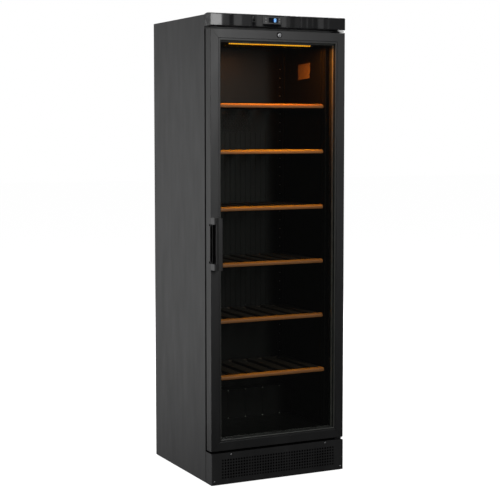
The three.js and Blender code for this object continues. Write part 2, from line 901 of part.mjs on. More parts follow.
function addDoor(cooler) {
  const door = addGroup(cooler);
  const quarter = Math.PI / 2;
  const boreRadius = hingePinRadius + turnClearance;
  const hingeInset = halfWidth - hingeX;
  const hingeBore = roundBar('x', boreRadius, -reach, pinInDoor + reach).translate(0, hingeY, 0);
  const lockHole = roundBar('y', lockSleeveRadius + gap, -reach, doorDepth + reach, 24);

  const topRail = carve(mitredBar(width), [
    hingeBore.clone().translate(0, 0, width - hingeInset),
    lockHole.translate(doorTop - lockZ, 0, halfWidth),
  ]);
  const bottomRail = carve(mitredBar(width), [hingeBore.clone().translate(0, 0, hingeInset)]);
  const members = [
    ['door_stile_left', carve(mitredBar(doorHeight), fingerScoop()), 0, [-halfWidth, 0, doorBottom]],
    ['door_rail_top', topRail, quarter, [-halfWidth, 0, doorTop]],
    ['door_stile_right', mitredBar(doorHeight), 2 * quarter, [halfWidth, 0, doorTop]],
    ['door_rail_bottom', bottomRail, 3 * quarter, [halfWidth, 0, doorBottom]],
  ];
  for (const [name, geometry, turn, place] of members) {
    addPart(door, name, geometry, frameSatin, place).rotation.y = turn;
  }

  const pane = new THREE.BoxGeometry(width - 2 * glassEdge, paneThickness, doorHeight - 2 * glassEdge);
  const middleZ = (doorBottom + doorTop) / 2;
  const spacerFront = outerPaneY + paneThickness + gap;
  const innerPaneY = spacerFront + spacerDepth + gap;
  addPart(door, 'glass_outer', pane, clearGlass, [0, outerPaneY + paneThickness / 2, middleZ]);
  addPart(door, 'glass_inner', pane, clearGlass, [0, innerPaneY + paneThickness / 2, middleZ]);
  const spacer = rectangularRing(spacerOuter, spacerInner, spacerFront, spacerFront + spacerDepth);
  addPart(door, 'glass_spacer', spacer, aluminium);
  const gasket = rectangularRing(
    gasketOuter,
    gasketOuter + gasketWidth,
    doorDepth + gap,
    cabinetFront - gap,
  );
  addPart(door, 'door_gasket', gasket, rubber);
  addHandle(door);
  addLock(door);
}

// Cutters for the hollow in the stile's outer corner behind the grip, deeper at its two ends.
function fingerScoop() {
  const low = handleBottom + postHeight - doorBottom;
  const high = handleTop - postHeight - doorBottom;
  return [
    block([-reach, -reach, low], [scoopWidth, scoopDepth, high]),
    block([-reach, -reach, low], [scoopWidth / 2, earDepth, low + earHeight]),
    block([-reach, -reach, high - earHeight], [scoopWidth / 2, earDepth, high]),
  ];
}

// Two posts on the left stile carry an upright grip plate with a bevelled left edge.
function addHandle(door) {
  const gripBack = postFront + overlap;
  const postRight = gripRight - postBevel / 2;
  const postOutline = [
    [-halfWidth, -gap],
    [-halfWidth, postFront + postBevel],
    [-halfWidth + postBevel, postFront],
    [postRight, postFront],
    [postRight, -gap],
  ];
  const gripOutline = [
    [gripLeft, postFront - overlap],
    [gripLeft, -handleReach + gripBevel],
    [gripLeft + gripBevel, -handleReach],
    [gripRight - gripBevel / 2, -handleReach],
    [gripRight, -handleReach + gripBevel / 2],
    [gripRight, gripBack],
    [gripLeft + postBevel / 2, gripBack],
  ];
  const handle = fuse([
    extrudeZ(postOutline, handleBottom, handleBottom + postHeight),
    extrudeZ(postOutline, handleTop - postHeight, handleTop),
    extrudeZ(gripOutline, handleBottom, handleTop),
  ]);
  addPart(door, 'door_handle', handle, blackPlastic);
}

function addLock(door) {
  const middle = [0, 0, lockZ];
  const sides = 24;
  const bore = lockBarrelRadius + turnClearance;
  const housing = carve(
    fuse([
      roundBar('y', lockFlangeRadius, lockFlangeFront, -gap, sides),
      roundBar('y', lockSleeveRadius, -gap - overlap, doorDepth, sides),
    ]),
    [roundBar('y', bore, lockFlangeFront - reach, doorDepth + reach, sides)],
  );
  addPart(door, 'lock_housing', housing, blackPlastic, middle);

  const camNear = doorDepth + camFront;
  const barrel = carve(
    fuse([
      roundBar('y', lockBarrelRadius, lockBarrelFront, lockBarrelBack, sides),
      block([-camLength, camNear, -camHalfWidth], [0, camNear + camThickness, camHalfWidth]),
    ]),
    [
      block(
        [-keySlotHalfWidth, lockBarrelFront - reach, -keySlotHalfHeight],
        [keySlotHalfWidth, keySlotDepth, keySlotHalfHeight],
      ),
    ],
  );
  addPart(door, 'lock_barrel', barrel, brightScrew, middle);
}

// ---------------------------------------------------------------- shelves
// A bar with rounded ends, seen from the front.
function stripOutline() {
  const cornerSteps = 3;
  const points = [];
  const corners = [
    [1, -1, -Math.PI / 2],
    [1, 1, 0],
    [-1, 1, Math.PI / 2],
    [-1, -1, Math.PI],
  ];
  for (const [sideX, sideZ, from] of corners) {
    for (let step = 0; step <= cornerSteps; step += 1) {
      const angle = from + (Math.PI / 2) * (step / cornerSteps);
      points.push([
        sideX * (stripHalfLength - stripCorner) + stripCorner * Math.cos(angle),
        sideZ * (stripHalfHeight - stripCorner) + stripCorner * Math.sin(angle),
      ]);
    }
  }
  return points;
}

function addShelves(cooler) {
  const strip = extrudeY(stripOutline(), 0, stripDepth);
  const slatFront = stripDepth + gap;
  const slatBack = rackBack - shelfFront;
  const battenHalf = (slatCount - 1) / 2 * slatPitch + slatHalfWidth - 1;
  const battenLow = rackBottom + 1;
  const battenTop = rackTop - battenDrop;
  const pieces = [
    block([-battenHalf, slatFront, battenLow], [battenHalf, slatFront + battenDepth, battenTop]),
    block([-battenHalf, slatBack - battenDepth, battenLow], [battenHalf, slatBack, battenTop]),
  ];
  for (let slat = 0; slat < slatCount; slat += 1) {
    const x = (slat - (slatCount - 1) / 2) * slatPitch;
    pieces.push(
      block(
        [x - slatHalfWidth, slatFront + overlap, rackBottom],
        [x + slatHalfWidth, slatBack - overlap, rackTop],
      ),
    );
  }
  const rack = fuse(pieces);
  shelfLevels.forEach((level, index) => {
    const number = index + 1;
    const shift = number === loosenedShelf ? loosenedShift : 0;
    const shelf = addGroup(cooler, [0, shelfFront + shift, level]);
    addPart(shelf, `shelf_front_${number}`, strip, beech);
    addPart(shelf, `shelf_rack_${number}`, rack, rackBlack);
  });
}

// ---------------------------------------------------------------- lamp and air duct
function addInterior(cabinet) {
  const lampTop = cavityCeiling - gap;
  const lamp = block([-lampHalfLength, lampFront, lampBottom], [lampHalfLength, lampBack, lampTop]);
  addPart(cabinet, 'led_bar', lamp, warmLight);

  const ductHalf = cavityHalfWidth - gap;
  const ductBack = ductFront + ductThickness;
  const cutFront = ductFront - reach;
  const cutBack = ductBack + reach;
  const holes = [];
  for (let row = 0; row < outletRows; row += 1) {
    const low = fanCentreZ - outletDrop + row * outletPitch;
    const left = fanCentreX - outletHalfWidth;
    const right = fanCentreX + outletHalfWidth;
    holes.push(block([left, cutFront, low], [right, cutBack, low + outletHeight]));
  }
  for (let slot = 0; slot < returnSlots; slot += 1) {
    const x = (slot - (returnSlots - 1) / 2) * returnPitch;
    const low = humpTop + returnRise;
    holes.push(
      block([x - returnHalfWidth, cutFront, low], [x + returnHalfWidth, cutBack, low + returnHeight]),
    );
  }
  const cover = block([-ductHalf, ductFront, humpTop + gap], [ductHalf, ductBack, cavityCeiling - gap]);
  addPart(cabinet, 'duct_cover', carve(cover, holes), linerBlack);

  const coil = finBlock(coilFins, coilPitch, finThickness, coilDepth - coilGroove, coilDepth, coilHeight);
  addPart(cabinet, 'evaporator', coil, aluminium, [0, coilFront, coilLow]);

  const fanPlace = [fanCentreX, coolFanY, fanCentreZ];
  const fanShape = axialFan(coolFanRadius, coolHubRadius);
  const fan = addPart(cabinet, 'evaporator_fan', fanShape, blackPlastic, fanPlace);
  const restAngle = 0.3;
  fan.rotation.y = restAngle;
  const armBack = coolMotorBack;
  const armFront = armBack - motorArmDepth;
  const legBack = cavityBack - coolFanY - gap;
  const legInner = motorArmSpan - motorArmHalf;
  const motor = fuse([
    roundBar('y', shaftRadius, coolShaftFront, coolMotorFront + 2 * reach),
    roundBar('y', coolMotorRadius, coolMotorFront, coolMotorBack),
    block([-motorArmSpan, armFront, -motorArmHalf], [motorArmSpan, armBack, motorArmHalf]),
    block([-motorArmSpan, armFront, -motorArmHalf], [-legInner, legBack, motorArmHalf]),
    block([legInner, armFront, -motorArmHalf], [motorArmSpan, legBack, motorArmHalf]),
  ]);
  addPart(cabinet, 'evaporator_fan_motor', motor, zinc, fanPlace);
}

// ---------------------------------------------------------------- cooling machine
function addCompressor(cabinet, seatZ) {
  const shell = compressorShell.map(([radius, z]) => new THREE.Vector2(radius, z));
  const [plateHalfX, plateHalfY] = compressorPlate;
  const plateLow = compressorSeat / 2;
  const feet = compressorFeet.map(([x, y]) =>
    roundBar('z', compressorFootRadius, gap, plateLow + reach, 12).translate(x, y, 0),
  );
  const compressor = fuse([
    new THREE.LatheGeometry(shell, 20).rotateX(Math.PI / 2).translate(0, 0, compressorSeat),
    block([-plateHalfX, -plateHalfY, plateLow], [plateHalfX, plateHalfY, plateLow + 2 * sheet]),
    ...feet,
    roundBar('z', compressorNeckRadius, plateLow - baseWall, compressorSeat + 8, 12),
  ]);
  addPart(cabinet, 'compressor', compressor, blackPlastic, [compressorX, compressorY, seatZ]);
}

function addDripTray(cabinet) {
  const hollowLow = dripLow.map((value) => value + baseWall);
  const hollowHigh = [dripHigh[0] - baseWall, dripHigh[1] - baseWall, dripHigh[2] + reach];
  const tray = carve(block(dripLow, dripHigh), [block(hollowLow, hollowHigh)]);
  addPart(cabinet, 'drip_tray', tray, blackPlastic);
}

// Condenser core, the shroud behind it and the motor on its two arms, as one unit.
function addCondenser(cabinet, seatZ) {
  const sides = 24;
  const coreBack = coreFront + coreDepth;
  const coreLow = seatZ + gap + baseWall;
  const coreTop = coreLow + coreHeight;
  const finDepth = coreDepth - overlap;
  const core = finBlock(coreFins, corePitch, finThickness, corePlate, finDepth, coreHeight);
  core.translate(0, coreFront, coreLow);
  const shroudBack = coreBack + shroudDepth;
  const windowFront = coreBack - 14;
  const shroudHole = roundBar('y', shroudRadius, windowFront, shroudBack + reach, sides);
  const shroud = carve(
    block([-shroudHalfWidth, coreBack - reach, coreLow], [shroudHalfWidth, shroudBack, coreTop]),
    [shroudHole.translate(0, 0, condenserFanZ)],
  );
  const window = roundBar('y', coreWindowRadius, windowFront, coreBack + reach, sides);
  const motorFront = shroudBack + 4;
  const motorBack = motorFront + condenserMotorDepth;
  const armLow = condenserFanZ - condenserArmHalf;
  const armHigh = condenserFanZ + condenserArmHalf;
  const armInner = condenserArmOuter - condenserArmWidth;
  const arms = [-1, 1].map((side) => {
    const edges = [side * condenserArmOuter, side * armInner].sort((a, b) => a - b);
    return block([edges[0], shroudBack - reach, armLow], [edges[1], motorBack, armHigh]);
  });
  const condenser = fuse([
    carve(core, [window.translate(0, 0, condenserFanZ)]),
    shroud,
    ...arms,
    block(
      [-condenserArmOuter, motorBack - condenserArmWidth, armLow],
      [condenserArmOuter, motorBack, armHigh],
    ),
    roundBar('y', condenserMotorRadius, motorFront, motorBack).translate(0, 0, condenserFanZ),
    roundBar('y', shaftRadius, coreBack + 12, motorFront + reach).translate(0, 0, condenserFanZ),
  ]);
  addPart(cabinet, 'condenser', condenser, aluminium);
  const fan = axialFan(condenserFanRadius, condenserHubRadius);
  addPart(cabinet, 'condenser_fan', fan, blackPlastic, [0, coreBack + 5, condenserFanZ]);
}

// The mains inlet hangs from the lip of the back sheet, in the open corner of the machine bay.
function addInlet(cabinet) {
  const inlet = carve(
    block(
      [inletX - inletHalfWidth, inletFront, socketLow - inletWall],
      [inletX + inletHalfWidth, cabinetBack, backSheetLow - gap],
    ),
    [
      block(
        [inletX - socketHalfWidth, inletFront + inletBase, socketLow],
        [inletX + socketHalfWidth, cabinetBack + reach, socketHigh],
      ),
    ],
  );
  addPart(cabinet, 'mains_inlet', inlet, blackPlastic);
}

function addMachine(cabinet) {
  const seatZ = trayFloor + baseWall;
  addCompressor(cabinet, seatZ);
  addDripTray(cabinet);
  addCondenser(cabinet, seatZ);
  addInlet(cabinet);
}

// ---------------------------------------------------------------- the whole cooler
const wineCooler = new THREE.Group();
const cooler = addGroup(wineCooler, [0, -middleY, floorClearance]);
const cabinet = addGroup(cooler);

addShell(cabinet);
addFoamAndLiner(cabinet);
addBase(cabinet);
addKickPlate(cabinet);
addFascia(cabinet);
addSwitch(cabinet);
addController(cabinet);
addHinges(cabinet);
addDoor(cooler);
addShelves(cooler);
addInterior(cabinet);
addMachine(cabinet);

export default wineCooler;
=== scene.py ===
"""The looks of a tall wine cooler with a glass door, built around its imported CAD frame.

Everything is in metres in the frame's own axes: +Z up, the door faces -Y, +X to the right.
Places inside a detail are written in millimetres from the door's front face and from the
kick plate's lower edge, and at() turns them into the frame.
"""

import json
import math

import bmesh
import bpy
from mathutils import Matrix, Vector

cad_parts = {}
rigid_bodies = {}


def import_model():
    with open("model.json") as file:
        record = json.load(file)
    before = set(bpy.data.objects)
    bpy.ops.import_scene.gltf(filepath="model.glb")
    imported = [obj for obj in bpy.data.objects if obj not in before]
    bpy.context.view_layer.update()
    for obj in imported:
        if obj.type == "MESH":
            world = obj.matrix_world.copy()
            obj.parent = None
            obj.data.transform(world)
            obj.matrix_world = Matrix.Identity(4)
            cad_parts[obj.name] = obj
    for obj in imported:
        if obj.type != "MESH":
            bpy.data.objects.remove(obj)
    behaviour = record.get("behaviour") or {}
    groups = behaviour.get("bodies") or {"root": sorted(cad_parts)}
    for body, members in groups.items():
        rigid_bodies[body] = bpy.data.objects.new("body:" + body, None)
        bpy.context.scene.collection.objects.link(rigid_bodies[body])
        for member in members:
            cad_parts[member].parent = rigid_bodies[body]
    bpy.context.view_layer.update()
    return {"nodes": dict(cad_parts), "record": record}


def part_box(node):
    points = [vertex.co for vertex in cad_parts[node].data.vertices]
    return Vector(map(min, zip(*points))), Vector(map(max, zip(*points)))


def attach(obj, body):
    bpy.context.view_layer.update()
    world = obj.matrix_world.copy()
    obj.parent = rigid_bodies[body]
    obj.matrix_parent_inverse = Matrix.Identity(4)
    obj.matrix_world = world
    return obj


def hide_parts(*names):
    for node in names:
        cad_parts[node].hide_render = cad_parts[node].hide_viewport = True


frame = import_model()

# ---- driving values
MM = 0.001
TAU = 2 * math.pi

door_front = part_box("door_rail_top")[0].y
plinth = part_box("kick_plate")[0].z
half_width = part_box("top_panel")[1].x

CAMERA_PLACE = Vector((-2.3979, -4.849, 1.39))
CAMERA_YAW, CAMERA_PITCH, CAMERA_ROLL = 26.327, 4.513, -0.014  # degrees
CAMERA_LENS = 94.33
CAMERA_SHIFT = -0.03

SHELVES = range(1, 7)
BUTTONS = range(1, 5)


def at(x, y, z):
    """A point given in millimetres from the door's front face and the kick plate's lower edge."""
    return Vector((x * MM, door_front + y * MM, plinth + z * MM))


def local(point):
    """A point of the frame in the millimetres that at() takes."""
    return point.x / MM, (point.y - door_front) / MM, (point.z - plinth) / MM


def local_box(node):
    """A node's lowest and highest corner in the millimetres that at() takes."""
    low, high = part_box(node)
    return local(low), local(high)


# ---- nodes
WHITE = (1.0, 1.0, 1.0)


def feed(tree, socket, value):
    """Links an output, or a node's first output, to a socket, or sets the socket's own value."""
    if isinstance(value, bpy.types.Node):
        value = value.outputs[0]
    if isinstance(value, bpy.types.NodeSocket):
        tree.links.new(value, socket)
    elif socket.type == "RGBA":
        socket.default_value = (*value, 1.0)
    else:
        socket.default_value = value


def new_node(tree, kind, inputs=(), **settings):
    """A new node with its settings, and with what each of its inputs gets."""
    made = tree.nodes.new(kind)
    for name, value in settings.items():
        setattr(made, name, value)
    for socket, value in dict(inputs).items():
        feed(tree, made.inputs[socket], value)
    return made


def bare_material(name):
    """A material with an empty node tree."""
    material = bpy.data.materials.new(name)
    material.use_nodes = True
    material.node_tree.nodes.clear()
    return material, material.node_tree


# ---- materials
finishes = {}


class Finish:
    """A Principled material whose colour, roughness and relief come from noise in object space.

    A stretch is one scale for every axis, or a scale for each. Every material is kept in finishes.
    """

    def __init__(self, name, colour, roughness, metallic=0.0):
        self.material = bpy.data.materials.new(name)
        self.material.use_nodes = True
        finishes[name] = self.material
        self.tree = self.material.node_tree
        self.shader = self.tree.nodes["Principled BSDF"]
        self.set("Base Color", colour)
        self.set("Roughness", roughness)
        self.set("Metallic", metallic)
        self.place = self.add("TexCoord").outputs["Object"]
        self.normal = None

    def set(self, socket, value):
        feed(self.tree, self.shader.inputs[socket], value)
        return self

    def add(self, kind, inputs=(), **settings):
        return new_node(self.tree, "ShaderNode" + kind, inputs, **settings)

    def along(self, axis):
        """How far along an axis a point lies."""
        return self.add("SeparateXYZ", {0: self.place}).outputs[axis]

    def noise(self, stretch, detail=3.0, roughness=0.55, distortion=0.0):
        scales = stretch if isinstance(stretch, tuple) else (stretch, stretch, stretch)
        mapping = self.add("Mapping", {"Vector": self.place, "Scale": scales})
        inputs = {"Vector": mapping, "Scale": 1.0, "Detail": detail}
        inputs |= {"Roughness": roughness, "Distortion": distortion}
        return self.add("TexNoise", inputs)

    def cells(self, scale, output):
        return self.add("TexVoronoi", {"Vector": self.place, "Scale": scale}).outputs[output]

    def ramp(self, value, stops):
        made = self.add("ValToRGB", {"Fac": value})
        while len(made.color_ramp.elements) < len(stops):
            made.color_ramp.elements.new(0.5)
        for element, (position, colour) in zip(made.color_ramp.elements, stops):
            element.position = position
            element.color = (*colour, 1.0)
        return made

    def ranged(self, value, low, high, start=0.3, end=0.7):
        inputs = {"Value": value, "From Min": start, "From Max": end, "To Min": low, "To Max": high}
        return self.add("MapRange", inputs)

    def blend(self, share, first, second):
        return self.add("Mix", {0: share, 6: first, 7: second}, data_type="RGBA").outputs[2]

    def maths(self, operation, *values):
        return self.add("Math", dict(enumerate(values)), operation=operation)

    def mottle(self, dark, light, stretch, detail=4.0):
        """Slow changes of tone between two colours."""
        self.tone = self.noise(stretch, detail)
        self.colour = self.ramp(self.tone, [(0.35, dark), (0.65, light)])
        return self.set("Base Color", self.colour)

    def mottle_where(self, mask, dark, light):
        """The same changes between two other colours, where the mask is 1."""
        other = self.ramp(self.tone, [(0.35, dark), (0.65, light)])
        return self.set("Base Color", self.blend(mask, self.colour, other))

    def rough(self, low, high, stretch, detail=3.0):
        return self.set("Roughness", self.ranged(self.noise(stretch, detail), low, high))

    def glow(self, value, stops, strength):
        self.set("Emission Strength", strength)
        return self.set("Emission Color", self.ramp(value, stops))

    def relief(self, value, depth):
        """A bump of that depth in metres, on top of those made before."""
        bump = self.add("Bump", {"Distance": depth, "Strength": 1.0, "Height": value})
        if self.normal is not None:
            feed(self.tree, bump.inputs["Normal"], self.normal)
        self.normal = bump
        return self.set("Normal", bump)

    def grain(self, depth, stretch, detail=3.0, roughness=0.55):
        """A bump made of noise."""
        return self.relief(self.noise(stretch, detail, roughness), depth)


def painted(name, dark, light, rough_low, rough_high, peel=0.00004):
    """Sprayed or powder-coated steel: slow tone changes, orange peel and a few rubbed streaks."""
    finish = Finish(name, light, rough_high)
    finish.mottle(dark, light, (9, 9, 3), detail=5)
    finish.rough(rough_low, rough_high, (26, 26, 5), detail=6)
    finish.grain(peel, 650, detail=2)
    return finish.grain(peel / 2, 1900, detail=2)


def moulded(name, dark, light, rough_low, rough_high):
    """Injection-moulded plastic with a fine spark-eroded grain."""
    finish = Finish(name, light, rough_high)
    finish.mottle(dark, light, 40, detail=5)
    finish.rough(rough_low, rough_high, 120, detail=4)
    return finish.grain(0.00003, 1500, detail=3, roughness=0.7)


def handle_finish(name, post_front):
    """Fine-grained plastic in one moulding: a near-black grip plate and, behind it, posts painted a lighter
    grey as painted light for the side light on their faces.
    """
    finish = moulded(name, (0.004, 0.004, 0.0042), (0.007, 0.007, 0.0073), 0.38, 0.48)
    on_post = finish.maths("GREATER_THAN", finish.along("Y"), post_front)
    finish.set("Specular IOR Level", finish.maths("MULTIPLY_ADD", on_post, 0.35, 0.5))
    # the posts' lighter grey is painted light: one moulding, brighter only where its side faces catch the
    # light
    return finish.mottle_where(on_post, (0.022, 0.0222, 0.0228), (0.028, 0.0282, 0.0288))


def kick_finish(name, inside):
    """Kick plate paint: almost black in front, the cabinet's grey on the returns beyond |x| = inside."""
    finish = painted(name, (0.010, 0.010, 0.0105), (0.015, 0.015, 0.0155), 0.42, 0.55)
    on_return = finish.maths("GREATER_THAN", finish.maths("ABSOLUTE", finish.along("X")), inside)
    return finish.mottle_where(on_return, (0.028, 0.0285, 0.0295), (0.034, 0.0345, 0.0355))


def glossy(name, dark, light, roughness):
    """Polished black plastic with hairline swirls and a hint of dust."""
    finish = Finish(name, light, roughness)
    finish.mottle(dark, light, 18, detail=6)
    finish.rough(roughness * 0.7, roughness * 1.5, 75, detail=6)
    return finish.grain(0.00002, 9, detail=1)


def galvanised(name, dark, light):
    """Zinc-coated sheet: flat crystals of slightly different brightness."""
    finish = Finish(name, light, 0.42, metallic=0.9)
    crystal = finish.add("SeparateColor", {0: finish.cells(70, "Color")})
    shade = finish.maths("MULTIPLY_ADD", crystal, 0.6, 0.5)
    finish.set("Base Color", finish.ramp(shade, [(0.0, dark), (0.8, light)]))
    finish.rough(0.33, 0.52, 60, detail=5)
    return finish.grain(0.00003, 500)


def brushed(name, dark, light, rough_low, rough_high, stretch):
    """Drawn or brushed metal with fine lines along one axis."""
    finish = Finish(name, light, rough_high, metallic=1.0)
    finish.mottle(dark, light, stretch, detail=6)
    finish.rough(rough_low, rough_high, stretch, detail=4)
    return finish.grain(0.00002, stretch, detail=4)


def wood(name, dark, light, pore, along, gloss_low, gloss_high):
    """Straight-grained timber: broad tone bands, fibres and short dark pores along one axis."""
    finish = Finish(name, light, gloss_high)

    def grain(length, across):
        return tuple(length if axis == along else across for axis in range(3))

    tone = finish.noise(grain(2.2, 55), detail=5, distortion=0.6)
    bands = finish.ramp(tone, [(0.3, dark), (0.72, light)])
    fibres = finish.noise(grain(9, 420), detail=4, roughness=0.7)
    toned = finish.blend(finish.ranged(fibres, 0.0, 0.5), bands, dark)
    specks = finish.noise(grain(38, 900), detail=2)
    pores = finish.ranged(specks, 0.0, 0.75, start=0.62, end=0.75)
    finish.set("Base Color", finish.blend(pores, toned, pore))
    finish.set("Roughness", finish.ranged(fibres, gloss_low, gloss_high))
    finish.relief(fibres, 0.00004)
    return finish.relief(specks, 0.00004)


def lining(name):
    """Vacuum-formed black liner: satin, even, with a very fine grain."""
    finish = Finish(name, (0.008, 0.0075, 0.007), 0.36)
    finish.mottle((0.006, 0.0055, 0.005), (0.009, 0.0085, 0.008), 5)
    finish.rough(0.33, 0.4, 30)
    finish.set("Specular IOR Level", 0.22)
    return finish.grain(0.00002, 1300)


def foam(name):
    """Yellow foam with burst cells."""
    finish = Finish(name, (0.72, 0.6, 0.34), 0.9)
    finish.mottle((0.6, 0.48, 0.25), (0.8, 0.68, 0.42), 60, detail=6)
    return finish.relief(finish.cells(350, "Distance"), 0.0008)


def rubber(name):
    """Soft black rubber or plastic, as on seals."""
    finish = Finish(name, (0.016, 0.016, 0.016), 0.7)
    finish.mottle((0.012, 0.012, 0.012), (0.024, 0.024, 0.023), 70, detail=5)
    finish.rough(0.55, 0.8, 150)
    return finish.grain(0.00005, 900)


def spacer_metal(name):
    """Rolled spacer bar with its row of small breathing holes."""
    finish = Finish(name, (0.42, 0.43, 0.39), 0.45, metallic=0.3)
    finish.mottle((0.36, 0.37, 0.33), (0.5, 0.51, 0.46), (80, 80, 30), detail=5)
    finish.rough(0.35, 0.55, 90)
    return finish.relief(finish.cells(260, "Distance"), 0.00015)


def lamp_lens(name, pitch, first):
    """A diffuser over a row of light sources: a bright spot over each, deep orange in between."""
    finish = Finish(name, (0.25, 0.09, 0.01), 0.35)
    steps = finish.maths("DIVIDE", finish.maths("SUBTRACT", finish.along("X"), first), pitch)
    from_middle = finish.maths("ABSOLUTE", finish.maths("SUBTRACT", finish.maths("FRACT", steps), 0.5))
    uneven = finish.ranged(finish.noise(14, detail=2), -0.1, 0.16)
    stops = [(0.0, (1.0, 0.62, 0.03)), (0.2, (1.0, 0.42, 0.012)), (0.42, (0.5, 0.14, 0.002))]
    finish.glow(finish.maths("ADD", from_middle, uneven), stops, 1.45)
    return finish.grain(0.00004, (900, 300, 300))


def display_window(name, middle):
    """Dark window with a soft blue glow around its lit digit."""
    finish = Finish(name, (0.004, 0.006, 0.011), 0.08)
    finish.mottle((0.003, 0.004, 0.007), (0.006, 0.009, 0.016), 60)
    away = finish.add("VectorMath", {0: finish.place, 1: middle}, operation="DISTANCE")
    near = finish.ranged(away.outputs["Value"], 1.0, 0.0, start=0.003, end=0.012)
    stops = [(0.0, (0.0, 0.0, 0.0)), (1.0, (0.012, 0.09, 0.5))]
    finish.glow(finish.maths("POWER", near, 2.2), stops, 1.0)
    return finish.rough(0.05, 0.12, 90)


def lit_segment(name):
    """The display's blue light."""
    finish = Finish(name, (0.1, 0.3, 0.6), 0.4)
    return finish.glow(finish.noise(400), [(0.3, (0.16, 0.5, 1.0)), (0.7, (0.42, 0.78, 1.0))], 1.5)


def paper(name):
    """Matt blank card, coloured darker and warmer than white card: painted shade and painted orange lamp
    light, on top of the lamp's real light.
    """
    finish = Finish(name, (0.3, 0.2, 0.16), 0.75)
    finish.mottle((0.24, 0.15, 0.12), (0.34, 0.22, 0.17), 80, detail=6)
    return finish.grain(0.00004, 1200)


def woven(name):
    """Black filter cloth with a fine square weave."""
    finish = Finish(name, (0.004, 0.004, 0.004), 0.95)
    finish.mottle((0.002, 0.002, 0.002), (0.006, 0.006, 0.006), 900)
    finish.set("Specular IOR Level", 0.1)
    return finish.relief(finish.cells(1100, "Distance"), 0.0003)


def dull_black(name):
    """Black plastic or paint that hardly shines."""
    finish = moulded(name, (0.003, 0.003, 0.003), (0.006, 0.006, 0.006), 0.55, 0.7)
    return finish.set("Specular IOR Level", 0.12)


def clear_glass(name, tint, gloss):
    """Thin clear sheet: it passes tinted light straight through and mirrors by angle.

    The gloss varies with faint wipe marks. The refractive index is inverted on faces seen from
    behind, so that both faces of a pane mirror alike.
    """
    glass_index = 1.5
    finishes[name], tree = bare_material(name)
    position = new_node(tree, "ShaderNodeTexCoord").outputs["Object"]
    stretched = new_node(tree, "ShaderNodeMapping", {"Vector": position, "Scale": (7.0, 7.0, 2.5)})
    marks = new_node(tree, "ShaderNodeTexNoise", {"Vector": stretched, "Scale": 1.0, "Detail": 5.0})
    wiped = new_node(tree, "ShaderNodeMapRange", {"Value": marks, "To Min": gloss, "To Max": gloss * 3})
    behind = new_node(tree, "ShaderNodeNewGeometry").outputs["Backfacing"]
    indices = {"Value": behind, "To Min": glass_index, "To Max": 1 / glass_index}
    share = new_node(tree, "ShaderNodeFresnel", {"IOR": new_node(tree, "ShaderNodeMapRange", indices)})
    passing = new_node(tree, "ShaderNodeBsdfTransparent", {"Color": tint})
    mirror = new_node(tree, "ShaderNodeBsdfAnisotropic", {"Color": WHITE, "Roughness": wiped})
    mix = new_node(tree, "ShaderNodeMixShader", {"Fac": share, 1: passing, 2: mirror})
    new_node(tree, "ShaderNodeOutputMaterial", {"Surface": mix})


def emitter(name, strength):
    """White light of one strength, which is seen but not sampled as a lamp."""
    material, tree = bare_material(name)
    light = new_node(tree, "ShaderNodeEmission", {"Color": WHITE, "Strength": strength})
    new_node(tree, "ShaderNodeOutputMaterial", {"Surface": light})
    material.cycles.emission_sampling = "NONE"
    return material


LAMP_PITCH = 10.5 * MM
lens_low, lens_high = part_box("display_lens")
lamp_low, lamp_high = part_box("led_bar")
digit_middle = Vector((lens_low.x + 27.5 * MM, lens_low.y, (lens_low.z + lens_high.z) / 2))
handle_post_front = at(0, -35.2, 0).y


